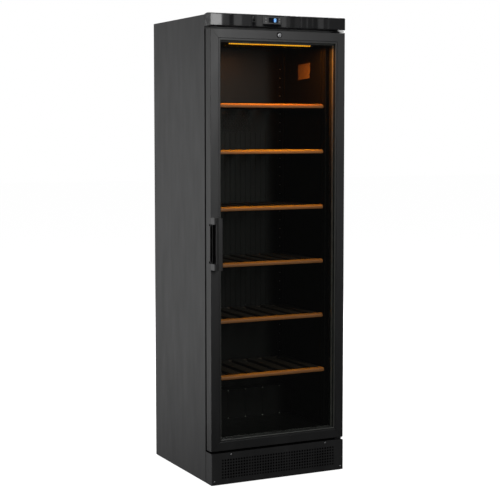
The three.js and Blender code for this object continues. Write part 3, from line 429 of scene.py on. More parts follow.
def make_finishes():
    """One material for each of the record's slots, then those of pieces that need their own."""
    painted("cabinet_steel", (0.030, 0.0305, 0.0315), (0.036, 0.0365, 0.0375), 0.4, 0.5)
    galvanised("zinc_steel", (0.24, 0.25, 0.26), (0.42, 0.43, 0.45))
    foam("foam")
    lining("liner_plastic")
    kick_finish("kick_steel", half_width - 2 * MM)
    moulded("roller_plastic", (0.02, 0.02, 0.02), (0.04, 0.04, 0.04), 0.5, 0.7)
    brushed("foot_steel", (0.25, 0.25, 0.26), (0.4, 0.4, 0.41), 0.35, 0.5, (300, 300, 40))
    glossy("fascia_gloss", (0.008, 0.008, 0.009), (0.013, 0.013, 0.014), 0.3)
    moulded("black_plastic", (0.012, 0.012, 0.012), (0.02, 0.02, 0.02), 0.4, 0.55)
    glossy("switch_gloss", (0.006, 0.006, 0.006), (0.012, 0.012, 0.012), 0.15)
    glossy("controller_gloss", (0.022, 0.022, 0.023), (0.03, 0.03, 0.031), 0.3)
    display_window("display", digit_middle)
    painted("door_frame", (0.012, 0.0122, 0.0125), (0.016, 0.0162, 0.0165), 0.36, 0.44, 0.00002)
    clear_glass("glass", (0.965, 0.975, 0.965), 0.01)
    spacer_metal("aluminium")
    rubber("gasket_rubber")
    handle_finish("handle_plastic", handle_post_front)
    brushed("lock_chrome", (0.5, 0.5, 0.52), (0.75, 0.76, 0.78), 0.12, 0.25, 400)
    lamp_lens("led_light", LAMP_PITCH, lamp_low.x)
    painted("compressor_paint", (0.008, 0.008, 0.009), (0.014, 0.014, 0.015), 0.25, 0.4)
    brushed("screw_steel", (0.22, 0.22, 0.23), (0.34, 0.34, 0.35), 0.3, 0.42, 700)
    moulded("button_mark", (0.26, 0.265, 0.27), (0.33, 0.335, 0.34), 0.4, 0.5)
    wood("shelf_wood", (0.36, 0.135, 0.034), (0.46, 0.175, 0.05), (0.25, 0.09, 0.022), 0, 0.42, 0.55)
    wood("rack_wood", (0.045, 0.03, 0.018), (0.085, 0.06, 0.038), (0.02, 0.012, 0.008), 1, 0.4, 0.6)

    glossy("panel_gloss", (0.006, 0.006, 0.007), (0.009, 0.009, 0.010), 0.02)
    lit_segment("digit_light")
    # blank card darkened and tinted warm: painted shade and painted lamp light
    paper("label_card_painted_shade")
    moulded("print_grey", (0.2, 0.2, 0.21), (0.3, 0.3, 0.31), 0.45, 0.6)
    woven("filter_cloth")
    # matt black of the dust filter's frame, also used as painted shade on the kick plate's lip under the
    # door
    dull_black("filter_black_and_lip_shade")
    dull_black("lock_black")
    # greenish grey of the painted reflection of the spacer bar, round the inside of the door frame
    moulded("painted_reflection_grey", (0.085, 0.09, 0.08), (0.11, 0.115, 0.1), 0.4, 0.55)
    # near-black paint for the hinge brackets: painted shade for the dark gaps at the hinges
    painted("bracket_painted_shade", (0.007, 0.007, 0.0072), (0.012, 0.012, 0.0122), 0.45, 0.6)


# ---- shapes: (vertices, faces)
def box_shape(low, high):
    corners = [Vector((x, y, z)) for x in (low.x, high.x) for y in (low.y, high.y) for z in (low.z, high.z)]
    faces = [(0, 1, 3, 2), (4, 6, 7, 5), (0, 4, 5, 1), (2, 3, 7, 6), (0, 2, 6, 4), (1, 5, 7, 3)]
    return corners, faces


def loft(sections, closed=False):
    """A skin over sections of equally many points, capped at both ends unless it closes on itself."""
    count = len(sections[0])
    vertices = [point for section in sections for point in section]
    faces = []
    for index in range(len(sections) if closed else len(sections) - 1):
        first = index * count
        second = (index + 1) % len(sections) * count
        for step in range(count):
            after = (step + 1) % count
            faces.append((first + step, first + after, second + after, second + step))
    if not closed:
        faces.append(tuple(range(count)))
        faces.append(tuple(range((len(sections) - 1) * count, len(sections) * count)))
    return vertices, faces


def arc(a, b, radius, start, turn, steps):
    """Points on an arc round (a, b), which starts and turns by shares of a full circle."""
    angles = [TAU * (start + turn * step / steps) for step in range(steps + 1)]
    return [(a + radius * math.cos(angle), b + radius * math.sin(angle)) for angle in angles]


def circle(a, b, radius, steps):
    return arc(a, b, radius, 0, 1, steps)[:-1]


def rounded(left, right, low, high, radius, steps=5):
    """The outline of a rectangle with round corners, as (a, b) points."""
    points = arc(right - radius, low + radius, radius, -0.25, 0.25, steps)
    points += arc(right - radius, high - radius, radius, 0.0, 0.25, steps)
    points += arc(left + radius, high - radius, radius, 0.25, 0.25, steps)
    return points + arc(left + radius, low + radius, radius, 0.5, 0.25, steps)


def row_of(count, pitch, middle=0.0):
    """Places in a row, evenly spaced about a middle."""
    return [middle + (index - (count - 1) / 2) * pitch for index in range(count)]


def turned(profile, centre, steps, closed=False):
    """A shape turned round an axis along Y, from (radius, depth) pairs in millimetres."""
    rings = []
    for radius, depth in profile:
        rings.append([centre + Vector((a, depth, b)) * MM for a, b in circle(0, 0, radius, steps)])
    return loft(rings, closed)


def prism(outline, middle, front, back):
    """An outline of (x, z) millimetres round a middle, drawn out from y = front to y = back in metres."""
    sections = []
    for y in (front, back):
        sections.append([Vector((middle.x + x * MM, y, middle.z + z * MM)) for x, z in outline])
    return loft(sections)


def joined(shapes):
    vertices, faces = [], []
    for more_vertices, more_faces in shapes:
        start = len(vertices)
        vertices += more_vertices
        faces += [tuple(index + start for index in face) for face in more_faces]
    return vertices, faces


def plate(loops, front, back):
    """A flat plate facing -Y, from an outer loop and hole loops of (x, z), in at()'s millimetres."""
    low, high = at(0, front, 0).y, at(0, back, 0).y
    curve = bpy.data.curves.new("outline", "CURVE")
    curve.dimensions = "2D"
    curve.fill_mode = "BOTH"
    curve.extrude = (high - low) / 2
    for loop in loops:
        spline = curve.splines.new("POLY")
        spline.points.add(len(loop) - 1)
        for point, (x, z) in zip(spline.points, loop):
            point.co = (x * MM, plinth + z * MM, 0.0, 1.0)
        spline.use_cyclic_u = True
    holder = bpy.data.objects.new("outline", curve)
    mesh = bpy.data.meshes.new_from_object(holder)
    vertices = [Vector((v.co.x, (low + high) / 2 - v.co.z, v.co.y)) for v in mesh.vertices]
    faces = [tuple(face.vertices) for face in mesh.polygons]
    bpy.data.objects.remove(holder)
    bpy.data.meshes.remove(mesh)
    bpy.data.curves.remove(curve)
    return vertices, faces


def place(name, shape, slot, body="cabinet", finish=None, replaces=None, bevel=0.0, sharp=32):
    """Makes the piece, smooths it, rounds its edges by bevel millimetres and lets it ride on its body.

    It has its slot's own material, unless another finish is named.
    """
    vertices, faces = shape
    mesh = bpy.data.meshes.new(name)
    mesh.from_pydata([tuple(v) for v in vertices], [], faces)
    shell = bmesh.new()
    shell.from_mesh(mesh)
    bmesh.ops.remove_doubles(shell, verts=shell.verts, dist=0.000002)
    bmesh.ops.recalc_face_normals(shell, faces=shell.faces)
    shell.to_mesh(mesh)
    shell.free()
    mesh.materials.append(finishes[finish or slot])
    mesh.shade_smooth()
    mesh.set_sharp_from_angle(angle=math.radians(sharp))
    made = bpy.data.objects.new(name, mesh)
    bpy.context.scene.collection.objects.link(made)
    if bevel:
        soften(made, bevel)
    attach(made, body)
    if replaces:
        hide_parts(replaces)
    return made


def soften(made, width):
    """Rounds the edges of a piece and keeps its flat faces flat to the light."""
    bevel = made.modifiers.new("edges", "BEVEL")
    bevel.width = width * MM
    bevel.segments = 2
    bevel.limit_method = "ANGLE"
    bevel.angle_limit = math.radians(32)
    bevel.harden_normals = True


def cleaning_group(name, sharp):
    """Geometry nodes that weld a mesh, drop its stored normals and smooth its edges up to an angle."""
    group = bpy.data.node_groups.new(name, "GeometryNodeTree")
    for in_out in ("INPUT", "OUTPUT"):
        group.interface.new_socket("Geometry", in_out=in_out, socket_type="NodeSocketGeometry")
    start = new_node(group, "NodeGroupInput")
    weld = new_node(group, "GeometryNodeMergeByDistance", {"Geometry": start, "Distance": 0.00001})
    drop = new_node(group, "GeometryNodeRemoveAttribute", {"Geometry": weld, "Name": "custom_normal"})
    smooth = new_node(group, "GeometryNodeSetShadeSmooth", {"Geometry": drop}, domain="FACE")
    angle = new_node(group, "GeometryNodeInputMeshEdgeAngle")
    limit = {"A": angle, "B": math.radians(sharp)}
    steep = new_node(group, "FunctionNodeCompare", limit, operation="GREATER_THAN")
    creased = {"Geometry": smooth, "Selection": steep, "Shade Smooth": False}
    sharpen = new_node(group, "GeometryNodeSetShadeSmooth", creased, domain="EDGE")
    new_node(group, "NodeGroupOutput", {0: sharpen})
    return group


FLAT_NODES = ("door_stile_left", "door_stile_right", "door_rail_top", "door_rail_bottom")
FLAT_NODES += ("door_handle", "fascia")


def dress_cad_nodes():
    """Gives every CAD node its slot's finish, except the hinge brackets, which get a near-black paint as
    painted shade for the dark gaps at the hinges, and rounds the edges of those that stay in view.
    """
    slots = {part["node"]: part["material_slot"] for part in frame["record"]["subparts"]}
    usual_width = 0.5
    widths = dict.fromkeys(("switch_housing", "switch_rocker", "lock_housing"), 0.4)
    widths |= dict.fromkeys(("glass_outer", "glass_inner"), 0.4)
    widths |= {"door_handle": 0.8, "fascia": 0.8, "display_lens": 0.15, "glass_spacer": 0.3}
    widths |= {"lock_barrel": 0.3, "inner_liner": 1.2, "compressor": 1.5, "insulation": 2.0}
    for name, node in frame["nodes"].items():
        # hinge brackets: near-black paint in place of their slot's finish, painted shade for the dark gaps
        # at the hinges
        finish = "bracket_painted_shade" if name.startswith("hinge_bracket") else slots[name]
        node.material_slots[0].link = "OBJECT"
        node.material_slots[0].material = finishes[finish]
        clean = node.modifiers.new("clean", "NODES")
        clean.node_group = flat_cleanup if name in FLAT_NODES else cleanup
        flat = node.modifiers.new("flat", "DECIMATE")
        flat.decimate_type = "DISSOLVE"
        flat.angle_limit = math.radians(0.5)
        soften(node, widths.get(name, usual_width))


# ---- kick plate
GRILLE_COLUMNS, GRILLE_ROWS = 43, 7
GRILLE_LEFT, GRILLE_LOW, GRILLE_HIGH = -249.0, 26.8, 96.0
HOLE_RADIUS, RIM_STEPS = 4.05, 16


def build_kick_plate():
    """One bent sheet: a front with its field of round holes, two returns and a lip under the door."""
    (left, front, low), (right, back, high) = local_box("kick_plate")
    bend, after_bend, corner_cut, cut_length = 2.5, 6, 3.0, 14.0
    sheet_thickness, return_gap, foot_share = 1.5, 3.5, 0.06
    pitch = -2 * GRILLE_LEFT / (GRILLE_COLUMNS - 1)
    row_pitch = (GRILLE_HIGH - GRILLE_LOW) / (GRILLE_ROWS - 1)
    path = [(left, back - return_gap), (left, front + bend + after_bend)]
    path += arc(left + bend, front + bend, bend, 0.5, 0.25, 4)
    path.append((left + cut_length, front))
    first_column = len(path)
    path += [(GRILLE_LEFT + (column - 0.5) * pitch, front) for column in range(GRILLE_COLUMNS + 1)]
    path += [(-x, y) for x, y in reversed(path[:first_column])]
    levels = [low, low + (high - low) * foot_share]
    first_row = len(levels)
    levels += [GRILLE_LOW + (row - 0.5) * row_pitch for row in range(GRILLE_ROWS + 1)] + [high]

    def top_of(x, level):
        """The level, lowered towards the right end of the upper edge."""
        cut = max(0.0, min(1.0, (x - (right - cut_length)) / cut_length)) if level == high else 0.0
        return level - corner_cut * cut

    vertices = [at(x, y, top_of(x, level)) for level in levels for x, y in path]
    faces = []
    across = len(path)
    for row in range(len(levels) - 1):
        for column in range(across - 1):
            corner = row * across + column
            quad = (corner, corner + 1, corner + 1 + across, corner + across)
            in_field = first_column <= column < first_column + GRILLE_COLUMNS
            if not (in_field and first_row <= row < first_row + GRILLE_ROWS):
                faces.append(quad)
                continue
            middle_x = (path[column][0] + path[column + 1][0]) / 2
            middle_z = (levels[row] + levels[row + 1]) / 2
            rim = arc(middle_x, middle_z, HOLE_RADIUS, -0.375, 1, RIM_STEPS)[:-1]
            start = len(vertices)
            vertices += [at(x, front, z) for x, z in rim]
            quarter = RIM_STEPS // 4
            for side in range(4):
                share = [start + (side * quarter + step) % RIM_STEPS for step in range(quarter + 1)]
                faces.append((quad[side], quad[(side + 1) % 4], *reversed(share)))
    lip_low = at(left + 3, front + sheet_thickness + 0.1, high - sheet_thickness)
    lip_high = at(right - cut_length - 2, back - 0.2, high - 0.2)
    made = place("kick_plate_perforated", (vertices, faces), "kick_steel", replaces="kick_plate")
    thick = made.modifiers.new("sheet", "SOLIDIFY")
    thick.thickness = sheet_thickness * MM
    thick.offset = -1
    edges = made.modifiers.new("edges", "NODES")
    edges.node_group = cleanup
    # the lip under the door gets matt black in place of the kick plate's paint: painted shade for the dark
    # gap between door and kick plate
    place("kick_plate_lip", box_shape(lip_low, lip_high), "kick_steel", finish="filter_black_and_lip_shade", bevel=0.4)


def build_filter_frame():
    """The dust filter close behind the grille: its border and upright bars, and its cloth."""
    front = local_box("kick_plate")[0][1]
    bar_front, bar_back = front + 3.0, front + 6.0
    outer = rounded(GRILLE_LEFT - 12, -GRILLE_LEFT + 12, GRILLE_LOW - 11, GRILLE_HIGH + 9, 4)
    loops = [outer]
    for left, right in ((-238, -141), (-113, 25), (57, 142), (170, 238)):
        loops.append(rounded(left, right, GRILLE_LOW + 5.8, GRILLE_HIGH + 2, 3))
    shape = plate(loops, bar_front, bar_back)
    place("filter_frame", shape, "black_plastic", finish="filter_black_and_lip_shade", bevel=0.3)
    low = at(GRILLE_LEFT - 10, bar_back + 0.2, GRILLE_LOW - 10)
    high = at(-GRILLE_LEFT + 10, bar_back + 3.0, GRILLE_HIGH + 8)
    place("filter_mesh", box_shape(low, high), "gasket_rubber", finish="filter_cloth")


def screw_head(centre, radius, height):
    """A pan head facing -Y with its seat at the centre, and the bars of its cross recess."""
    dome = [(1, 0.0), (1, -0.25), (0.93, -0.6), (0.72, -0.87), (0.4, -1)]
    shape = turned([(radius * a, height * b) for a, b in dome], centre, steps=20)
    arm, slim = radius * 0.42, radius * 0.11
    cross = []
    for a, b in ((arm, slim), (slim, arm)):
        low, high = Vector((-a, -height * 1.02, -b)), Vector((a, -height * 0.9, b))
        cross.append(box_shape(centre + low * MM, centre + high * MM))
    return shape, cross


def build_kick_screws():
    for number in range(1, 5):
        low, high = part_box(f"kick_screw_{number}")
        centre = Vector(((low.x + high.x) / 2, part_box("kick_plate")[0].y, (low.z + high.z) / 2))
        head, cross = screw_head(centre, 4.2, 2.0)
        place(f"kick_screw_head_{number}", head, "screw_steel", replaces=f"kick_screw_{number}")
        place(f"kick_screw_recess_{number}", joined(cross), "black_plastic")


# ---- fascia and controls
PANEL_LOW, PANEL_HIGH = 1792.3, 1834.6


def build_fascia_panel():
    """The gloss strip let into the fascia's face, cut out around the switch and the controller."""
    (left, front, _), (right, _, _) = local_box("fascia")
    clear = 0.3
    loops = [rounded(left + 1.5, right - 1.5, PANEL_LOW, PANEL_HIGH, 1.2)]
    for node in ("switch_housing", "controller_bezel"):
        (hole_left, _, low), (hole_right, _, high) = local_box(node)
        loops.append(rounded(hole_left - clear, hole_right + clear, low - clear, high + clear, 1.0))
    shape = plate(loops, front - 0.7, front - 0.02)
    place("fascia_gloss_panel", shape, "fascia_gloss", finish="panel_gloss", sharp=5)


def segment_outline(half_length, half_thickness, upright):
    """One bar of a seven-segment digit, with pointed ends."""
    shoulder = half_length - half_thickness
    outline = [(-half_length, 0), (-shoulder, -half_thickness), (shoulder, -half_thickness)]
    outline += [(-x, -z) for x, z in outline]
    return [(z, x) for x, z in outline] if upright else outline


def build_display():
    """The lit digit and the printed mark beside the window."""
    half_height, half_across, half_thick, joint = 6.2, 3.3, 0.75, 0.35
    reach = half_height / 2
    bars = [(0, z, half_across, False) for z in (0, half_height, -half_height)]
    bars += [(x, z, reach, True) for x in (-half_across, half_across) for z in (-reach, reach)]
    shapes = []
    for x, z, half_length, upright in bars:
        outline = segment_outline(half_length - joint, half_thick, upright)
        middle = digit_middle + Vector((x, 0, z)) * MM
        shapes.append(prism(outline, middle, lens_low.y - 0.25 * MM, lens_low.y - 0.02 * MM))
    place("display_digit", joined(shapes), "display", finish="digit_light")
    bezel_front = local_box("controller_bezel")[0][1]
    mark_left, mark_right, mark_low, mark_high = -66, -54, 1805.6, 1807.2
    low, high = at(mark_left, bezel_front - 0.15, mark_low), at(mark_right, bezel_front - 0.01, mark_high)
    place("controller_print", box_shape(low, high), "button_mark", finish="print_grey")


def build_button_signs():
    """Down, up, a ring and a bar on the four buttons."""
    half, tip, rise = 1.6, 1.3, 1.3 / 1.4
    signs = [
        [(-half, rise), (half, rise), (0, -tip)],
        [(-half, -rise), (half, -rise), (0, tip)],
        circle(0, 0, 1.2, 16),
        [(-half, -0.5), (half, -0.5), (half, 0.5), (-half, 0.5)],
    ]
    for number, outline in zip(BUTTONS, signs):
        low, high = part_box(f"control_button_{number}")
        shape = prism(outline, (low + high) / 2, low.y - 0.12 * MM, low.y - 0.01 * MM)
        place(f"button_sign_{number}", shape, "black_plastic", f"button_{number}")


# ---- door
def ring_sweep(profile, low, high):
    """A section of (inset, depth) swept round the rectangle from low to high, both (x, z)."""
    sections = []
    for side_x, side_z in ((-1, -1), (1, -1), (1, 1), (-1, 1)):
        edge_x = low[0] if side_x < 0 else high[0]
        edge_z = low[1] if side_z < 0 else high[1]
        sections.append([at(edge_x - side_x * a, depth, edge_z - side_z * a) for a, depth in profile])
    return loft(sections, closed=True)


def build_gasket():
    """A magnetic door seal: a bellows between the door's back and the cabinet's front."""
    (left, front, low), (right, back, high) = local_box("door_gasket")
    wide, deep = 16.0, back - front
    folds = [(0.5, 0.0), (0.0, 0.12), (1.5, 0.28), (4.2, 0.4), (1.2, 0.55), (1.0, 0.9), (2.0, 1.0)]
    profile = [(wide - inset, front + share * deep) for inset, share in folds]
    profile += [(inset, front + share * deep) for inset, share in reversed(folds)]
    shape = ring_sweep(profile, (left, low), (right, high))
    place("door_gasket_bellows", shape, "gasket_rubber", "door", replaces="door_gasket")


def build_glass_seal():
    """Black edge sealant between the panes, which hides the spacer's front from view."""
    (left, front, low), (right, _, high) = local_box("glass_spacer")
    band, rise, seal_front, seal_back = 11.9, 2.6, front - 0.22, front - 0.04
    profile = [(0.0, seal_front), (band, seal_front), (band, seal_back), (0.0, seal_back)]
    shape = ring_sweep(profile, (left, low + rise), (right, high - rise))
    place("glass_edge_seal", shape, "gasket_rubber", "door")


def build_painted_reflection_strip():
    """A thin greenish-grey strip round the inside of the door frame's opening, in front of the outer pane:
    a painted reflection of the spacer bar in the glass.
    """
    opening_low = local_box("door_stile_left")[1][0], local_box("door_rail_bottom")[1][2]
    opening_high = local_box("door_stile_right")[0][0], local_box("door_rail_top")[0][2]
    wide, front, back = 1.3, 0.5, local_box("glass_outer")[0][1] - 0.1
    profile = [(0.0, front), (wide, front + 0.6), (wide, back), (0.0, back)]
    shape = ring_sweep(profile, opening_low, opening_high)
    place("painted_spacer_reflection", shape, "gasket_rubber", "door", finish="painted_reflection_grey")


def build_lock_face():
    """A dark ring with a raised rim around the lock's bright barrel."""
    (left, _, low), (right, _, high) = local_box("lock_housing")
    centre = at((left + right) / 2, 0, (low + high) / 2)
    rim = [(11.7, -0.3), (11.7, -1.5), (11.2, -2.0), (10.2, -2.15)]
    rim += [(9.2, -1.9), (8.3, -1.1), (7.95, -0.4)]
    shape = turned(rim, centre, steps=40, closed=True)
    place("lock_ring", shape, "black_plastic", "door", finish="lock_black")


# ---- shelves
def strip_section(front, back, low, high):
    """Section of a shelf's wooden front: a large round on the upper front edge, a small one below."""
    big, small, eased = 9.5, 2.0, 1.0
    points = [(back, low + eased), (back, high - eased), (back - eased, high)]
    points += arc(front + big, high - big, big, 0.25, 0.25, 8)
    points += arc(front + small, low + small, small, 0.5, 0.25, 4)
    return points + [(back - eased, low)]


def build_shelf_front(number):
    """A wooden strip whose ends are rounded towards the front."""
    (left, front, low), (right, back, high) = local_box(f"shelf_front_{number}")
    section = strip_section(front, back, low, high)
    middle_y, middle_z = (front + back) / 2, (low + high) / 2
    nose, end_scale = 7.0, 0.35
    ends = []
    for a, b in arc(nose, 0, nose, 0.5, -0.25, 6):
        ends.append((left + a, end_scale + (1 - end_scale) * b / nose))
    inner = [(left + nose + (right - left - 2 * nose) * k / 12, 1.0) for k in range(1, 12)]
    sections = []
    for x, scale in ends + inner + [(left + right - x, scale) for x, scale in reversed(ends)]:
        shrink = 0.5 + scale / 2
        ring = []
        for y, z in section:
            depth = back - (back - y) * shrink if y < middle_y else y
            ring.append(at(x, depth, middle_z + (z - middle_z) * scale))
        sections.append(ring)
    name, body, node = f"shelf_strip_{number}", f"shelf_{number}", f"shelf_front_{number}"
    place(name, loft(sections), "shelf_wood", body, replaces=node, sharp=50)


def build_shelf_rack(number):
    """Slats with eased edges on two battens, each slat a separate board."""
    (left, front, low), (right, back, high) = local_box(f"shelf_rack_{number}")
    slats, slat_half, ease, end_ease = 7, 22.5, 2.2, 1.2
    pitch = (right - left - 2 * slat_half) / (slats - 1)
    middle_z = (low + high) / 2
    section = rounded(-slat_half, slat_half, low, high, ease, 3)
    ends = [(front, 0.93), (front + end_ease, 1.0), (back - end_ease, 1.0), (back, 0.93)]
    shapes = []
    for middle in row_of(slats, pitch, (left + right) / 2):
        sections = []
        for y, scale in ends:
            lifted = middle_z * (1 - scale)
            sections.append([at(middle + a * scale, y, lifted + b * scale) for a, b in section])
        shapes.append(loft(sections))
    batten, gap = 14, 0.1
    for start in (front + 1.0, back - batten - 1.0):
        for middle in row_of(slats - 1, pitch, (left + right) / 2):
            reach = pitch / 2 - slat_half - gap
            batten_low = at(middle - reach, start, low + 1.0)
            shapes.append(box_shape(batten_low, at(middle + reach, start + batten, high - 3.0)))
    name, body, node = f"shelf_slats_{number}", f"shelf_{number}", f"shelf_rack_{number}"
    place(name, joined(shapes), "rack_wood", body, replaces=node)


# ---- lamp
def build_lamp():
    """A half-round diffuser in an aluminium channel under the cavity's ceiling, and its end caps."""
    (left, front, low), (right, back, high) = local_box("led_bar")
    middle, half = (front + back) / 2, (back - front) / 2
    lip, hang, driver, wall = low + 6.5, 4.6, 11.0, 0.8
    lens_end = right - driver
    lens = [(middle + (half - 1.0) * a, lip + hang * b) for a, b in arc(0, 0, 1, 0.5, 0.5, 12)]
    shape = loft([[at(x, y, z) for y, z in lens] for x in (left + 3, lens_end)])
    place("lamp_diffuser", shape, "led_light", replaces="led_bar")
    channel = [(front, lip - 1.0), (front, high), (back, high), (back, lip - 1.0)]
    channel += [(back - wall, lip - 1.0), (back - wall, lip + 0.2)]
    channel += [(front + wall, lip + 0.2), (front + wall, lip - 1.0)]
    shape = loft([[at(x, y, z) for y, z in channel] for x in (left + 2, lens_end)])
    place("lamp_channel", shape, "aluminium")
    spans = ((left, left + 2.8), (lens_end + 0.2, right))
    caps = [box_shape(at(start, front, low), at(end, back, high)) for start, end in spans]
    place("lamp_end_caps", joined(caps), "black_plastic", bevel=0.8)


# ---- cavity
COVER_MIDDLE, RIB_PITCH, SLOT_PITCH = 8.0, 23.9, 38.0
CAVITY_FLOOR, CEILING = 176.0, 1736.0
fan_low, fan_high = local_box("evaporator_fan")
fan_level = (fan_low[2] + fan_high[2]) / 2


def build_duct_cover():
    """The back wall's plate, with the return slots and the opening in front of the fan."""
    (left, front, low), (right, back, high) = local_box("duct_cover")
    outer = rounded(left, right, low, high, 4)
    returns = [rounded(x - 18, x + 18, low + 20, low + 30, 4.5) for x in row_of(8, 50)]
    outlet = rounded(COVER_MIDDLE - 66, COVER_MIDDLE + 66, fan_level - 32, fan_level + 32, 6)
    shape = plate([outer, *returns, outlet], front, back)
    place("back_wall_plate", shape, "liner_plastic", replaces="duct_cover", bevel=0.3)


def build_air_cover():
    """The raised cover in front of the fan, with its perforations and upright ribs."""
    front = local_box("duct_cover")[0][1]
    half, low, high, corner, depth = 160, 560.0, 1692.0, 26, 10.0
    holes = []
    for row, z in enumerate(row_of(9, 10.2, fan_level - 9)):
        for x in row_of(10, 14.5, COVER_MIDDLE + (row % 2 - 0.5) * 7.25):
            holes.append(rounded(x - 1.9, x + 1.9, z - 2.8, z + 2.8, 1.8, 3))
    face = rounded(COVER_MIDDLE - half, COVER_MIDDLE + half, low, high, corner, 8)
    place("air_cover", plate([face, *holes], front - depth, front - 0.4), "liner_plastic", bevel=0.5)
    bead = 1.6
    section = [(-bead, 0.0), (-bead * 0.7, 1.1), (0, bead), (bead * 0.7, 1.1), (bead, 0.0)]
    stations = [(640, 0.1), (646, 0.8), (652, 1.0), (1372, 1.0), (1378, 0.8), (1384, 0.1)]
    foot = front - depth + 0.2
    ribs = []
    for x in row_of(13, RIB_PITCH, COVER_MIDDLE):
        ribs.append(loft([[at(x + a, foot - b * scale, z) for a, b in section] for z, scale in stations]))
    place("air_cover_ribs", joined(ribs), "liner_plastic", sharp=60)


def build_pilasters():
    """Perforated uprights at both sides of the back wall, with a clip in each slot."""
    front = local_box("duct_cover")[0][1]
    low, high, first_slot, slots = 330.0, 1700.0, 356.0, 35
    levels = [first_slot + index * SLOT_PITCH for index in range(slots)]
    for middle, side_name in ((-224.0, "left"), (224.0, "right")):
        holes = [rounded(middle - 3.2, middle + 3.2, z - 2.0, z + 2.0, 1.5, 3) for z in levels]
        shape = plate([rounded(middle - 8, middle + 8, low, high, 2), *holes], front - 2.4, front - 0.2)
        place(f"pilaster_{side_name}", shape, "liner_plastic", bevel=0.3)
        clips = []
        for z in levels:
            clip_low = at(middle - 2.6, front - 3.4, z + 2.2)
            clips.append(box_shape(clip_low, at(middle + 2.6, front - 2.2, z + 3.6)))
        place(f"pilaster_clips_{side_name}", joined(clips), "aluminium")


def bead_along(start, end, outward, across, radius):
    """A half-round bead from one point to another, standing out from a wall, its ends run out."""
    sections = []
    for share, scale in ((0.0, 0.1), (0.004, 0.8), (0.01, 1.0), (0.99, 1.0), (0.996, 0.8), (1.0, 0.1)):
        middle = start.lerp(end, share)
        ring = arc(0, 0, radius * MM, 0, 0.5, 6)
        sections.append([middle + across * a + outward * b * scale for a, b in ring])
    return loft(sections)


def build_wall_beads():
    """Upright beads pressed into both side walls."""
    wall = local_box("duct_cover")[1][0] + 0.3
    end_gap = 14
    beads = []
    for side in (-1, 1):
        for y in (66.0, 92.0, 412.0):
            low, high = at(side * wall, y, CAVITY_FLOOR + end_gap), at(side * wall, y, CEILING - end_gap)
            beads.append(bead_along(low, high, Vector((-side, 0, 0)), Vector((0, 1, 0)), 2.2))
    place("liner_wall_beads", joined(beads), "liner_plastic", sharp=60)


def build_raised_floor_details():
    """Ribs on the raised floor's front, with a stud at both ends of each."""
    front, pitch, studs_low, studs_high = 344.0, 81.0, CAVITY_FLOOR + 3, 297.0
    ribs, studs = [], []
    for x in row_of(6, pitch, 20.0 - pitch / 2):
        start, end = at(x, front, studs_low), at(x, front, studs_high)
        ribs.append(bead_along(start, end, Vector((0, -1, 0)), Vector((1, 0, 0)), 1.4))
        for foot in (start, end):
            studs.append(turned([(2.6, 0), (2.4, -1.0), (1.6, -1.8), (0.6, -2.2)], foot, steps=14))
    place("raised_floor_ribs", joined(ribs), "liner_plastic", sharp=60)
    place("raised_floor_studs", joined(studs), "aluminium")


def build_label():
    """A blank card stuck to the right wall, with one corner slightly lifted."""
    wall = local_box("duct_cover")[1][0] - 0.3
    front, back, low, high, tilt, thickness = 184.0, 287.0, 1601.0, 1664.0, 3.5, 0.25
    steps = 8
    rows = [step / steps for step in range(steps + 1)]
    outline = [(b, 0.0) for b in rows] + [(b, thickness) for b in reversed(rows)]
    sections = []
    for a in rows:
        ring = []
        for b, proud in outline:
            lift = 9.0 * max(0.0, a - b - 0.4) ** 1.5
            z = low + (high - low) * b + tilt * a
            ring.append(at(wall - lift - proud, back + (front - back) * a, z))
        sections.append(ring)
    place("blank_card", loft(sections), "button_mark", finish="label_card_painted_shade", sharp=60)


# ---- back and underside
def build_back_panel():
    """Pressed stiffening beads and two rows of screws on the back sheet."""
    (left, _, low), (right, back, high) = local_box("back_panel")
    bead_foot, bead_gap, screw_gap = back - 2.4, 80, 12
    beads = []
    for x in (-170, 170):
        start, end = at(x, bead_foot, low + bead_gap), at(x, bead_foot, high - bead_gap)
        beads.append(bead_along(start, end, Vector((0, 1, 0)), Vector((1, 0, 0)), 2.3))
    place("back_sheet_beads", joined(beads), "zinc_steel", sharp=60)
    head = [(3.6, -0.4), (3.6, -0.1), (3.2, -0.02), (1.4, 0.03)]
    heads = []
    for z in (low + screw_gap, *row_of(5, 260, 1040), high - screw_gap):
        for x in (left + 10, right - 10):
            heads.append(turned(head, at(x, back - 0.05, z), steps=16))
    place("back_sheet_screws", joined(heads), "screw_steel")


def build_bay_lining():
    """Thin sheet over the foam at the machine bay's front wall and ceiling."""
    (foam_left, _, _), (foam_right, _, _) = local_box("insulation")
    _, (_, _, ledge) = local_box("base_frame")
    _, (_, _, bay_top) = local_box("mains_inlet")
    (_, back, _), _ = local_box("back_panel")
    (_, tray_front, _), _ = local_box("drip_tray")
    wall, thickness, side_gap = tray_front - 10.5, 1.0, 18.5
    left, right = foam_left + side_gap, foam_right - side_gap
    shapes = [
        box_shape(at(left, wall, ledge + 5), at(right, wall + thickness, bay_top + 1.2)),
        box_shape(at(left, wall + thickness + 0.1, bay_top + 0.2), at(right, back - 0.5, bay_top + 1.2)),
    ]
    place("machine_bay_lining", joined(shapes), "zinc_steel")


def build_inlet_pins():
    (left, front, low), (right, _, high) = local_box("mains_inlet")
    middle, level = (left + right) / 2, (low + high) / 2
    pins = []
    for x, z in ((middle - 7, level - 2.5), (middle + 7, level - 2.5), (middle, level + 2.5)):
        pins.append(box_shape(at(x - 1.0, front + 5.5, z - 2), at(x + 1.0, front + 19, z + 2)))
    place("inlet_pins", joined(pins), "screw_steel", bevel=0.5)


# ---- camera, light and stage
def only_seen_in_mirrors(made):
    for rays in ("camera", "diffuse", "shadow", "transmission", "volume_scatter"):
        setattr(made, f"visible_{rays}", False)


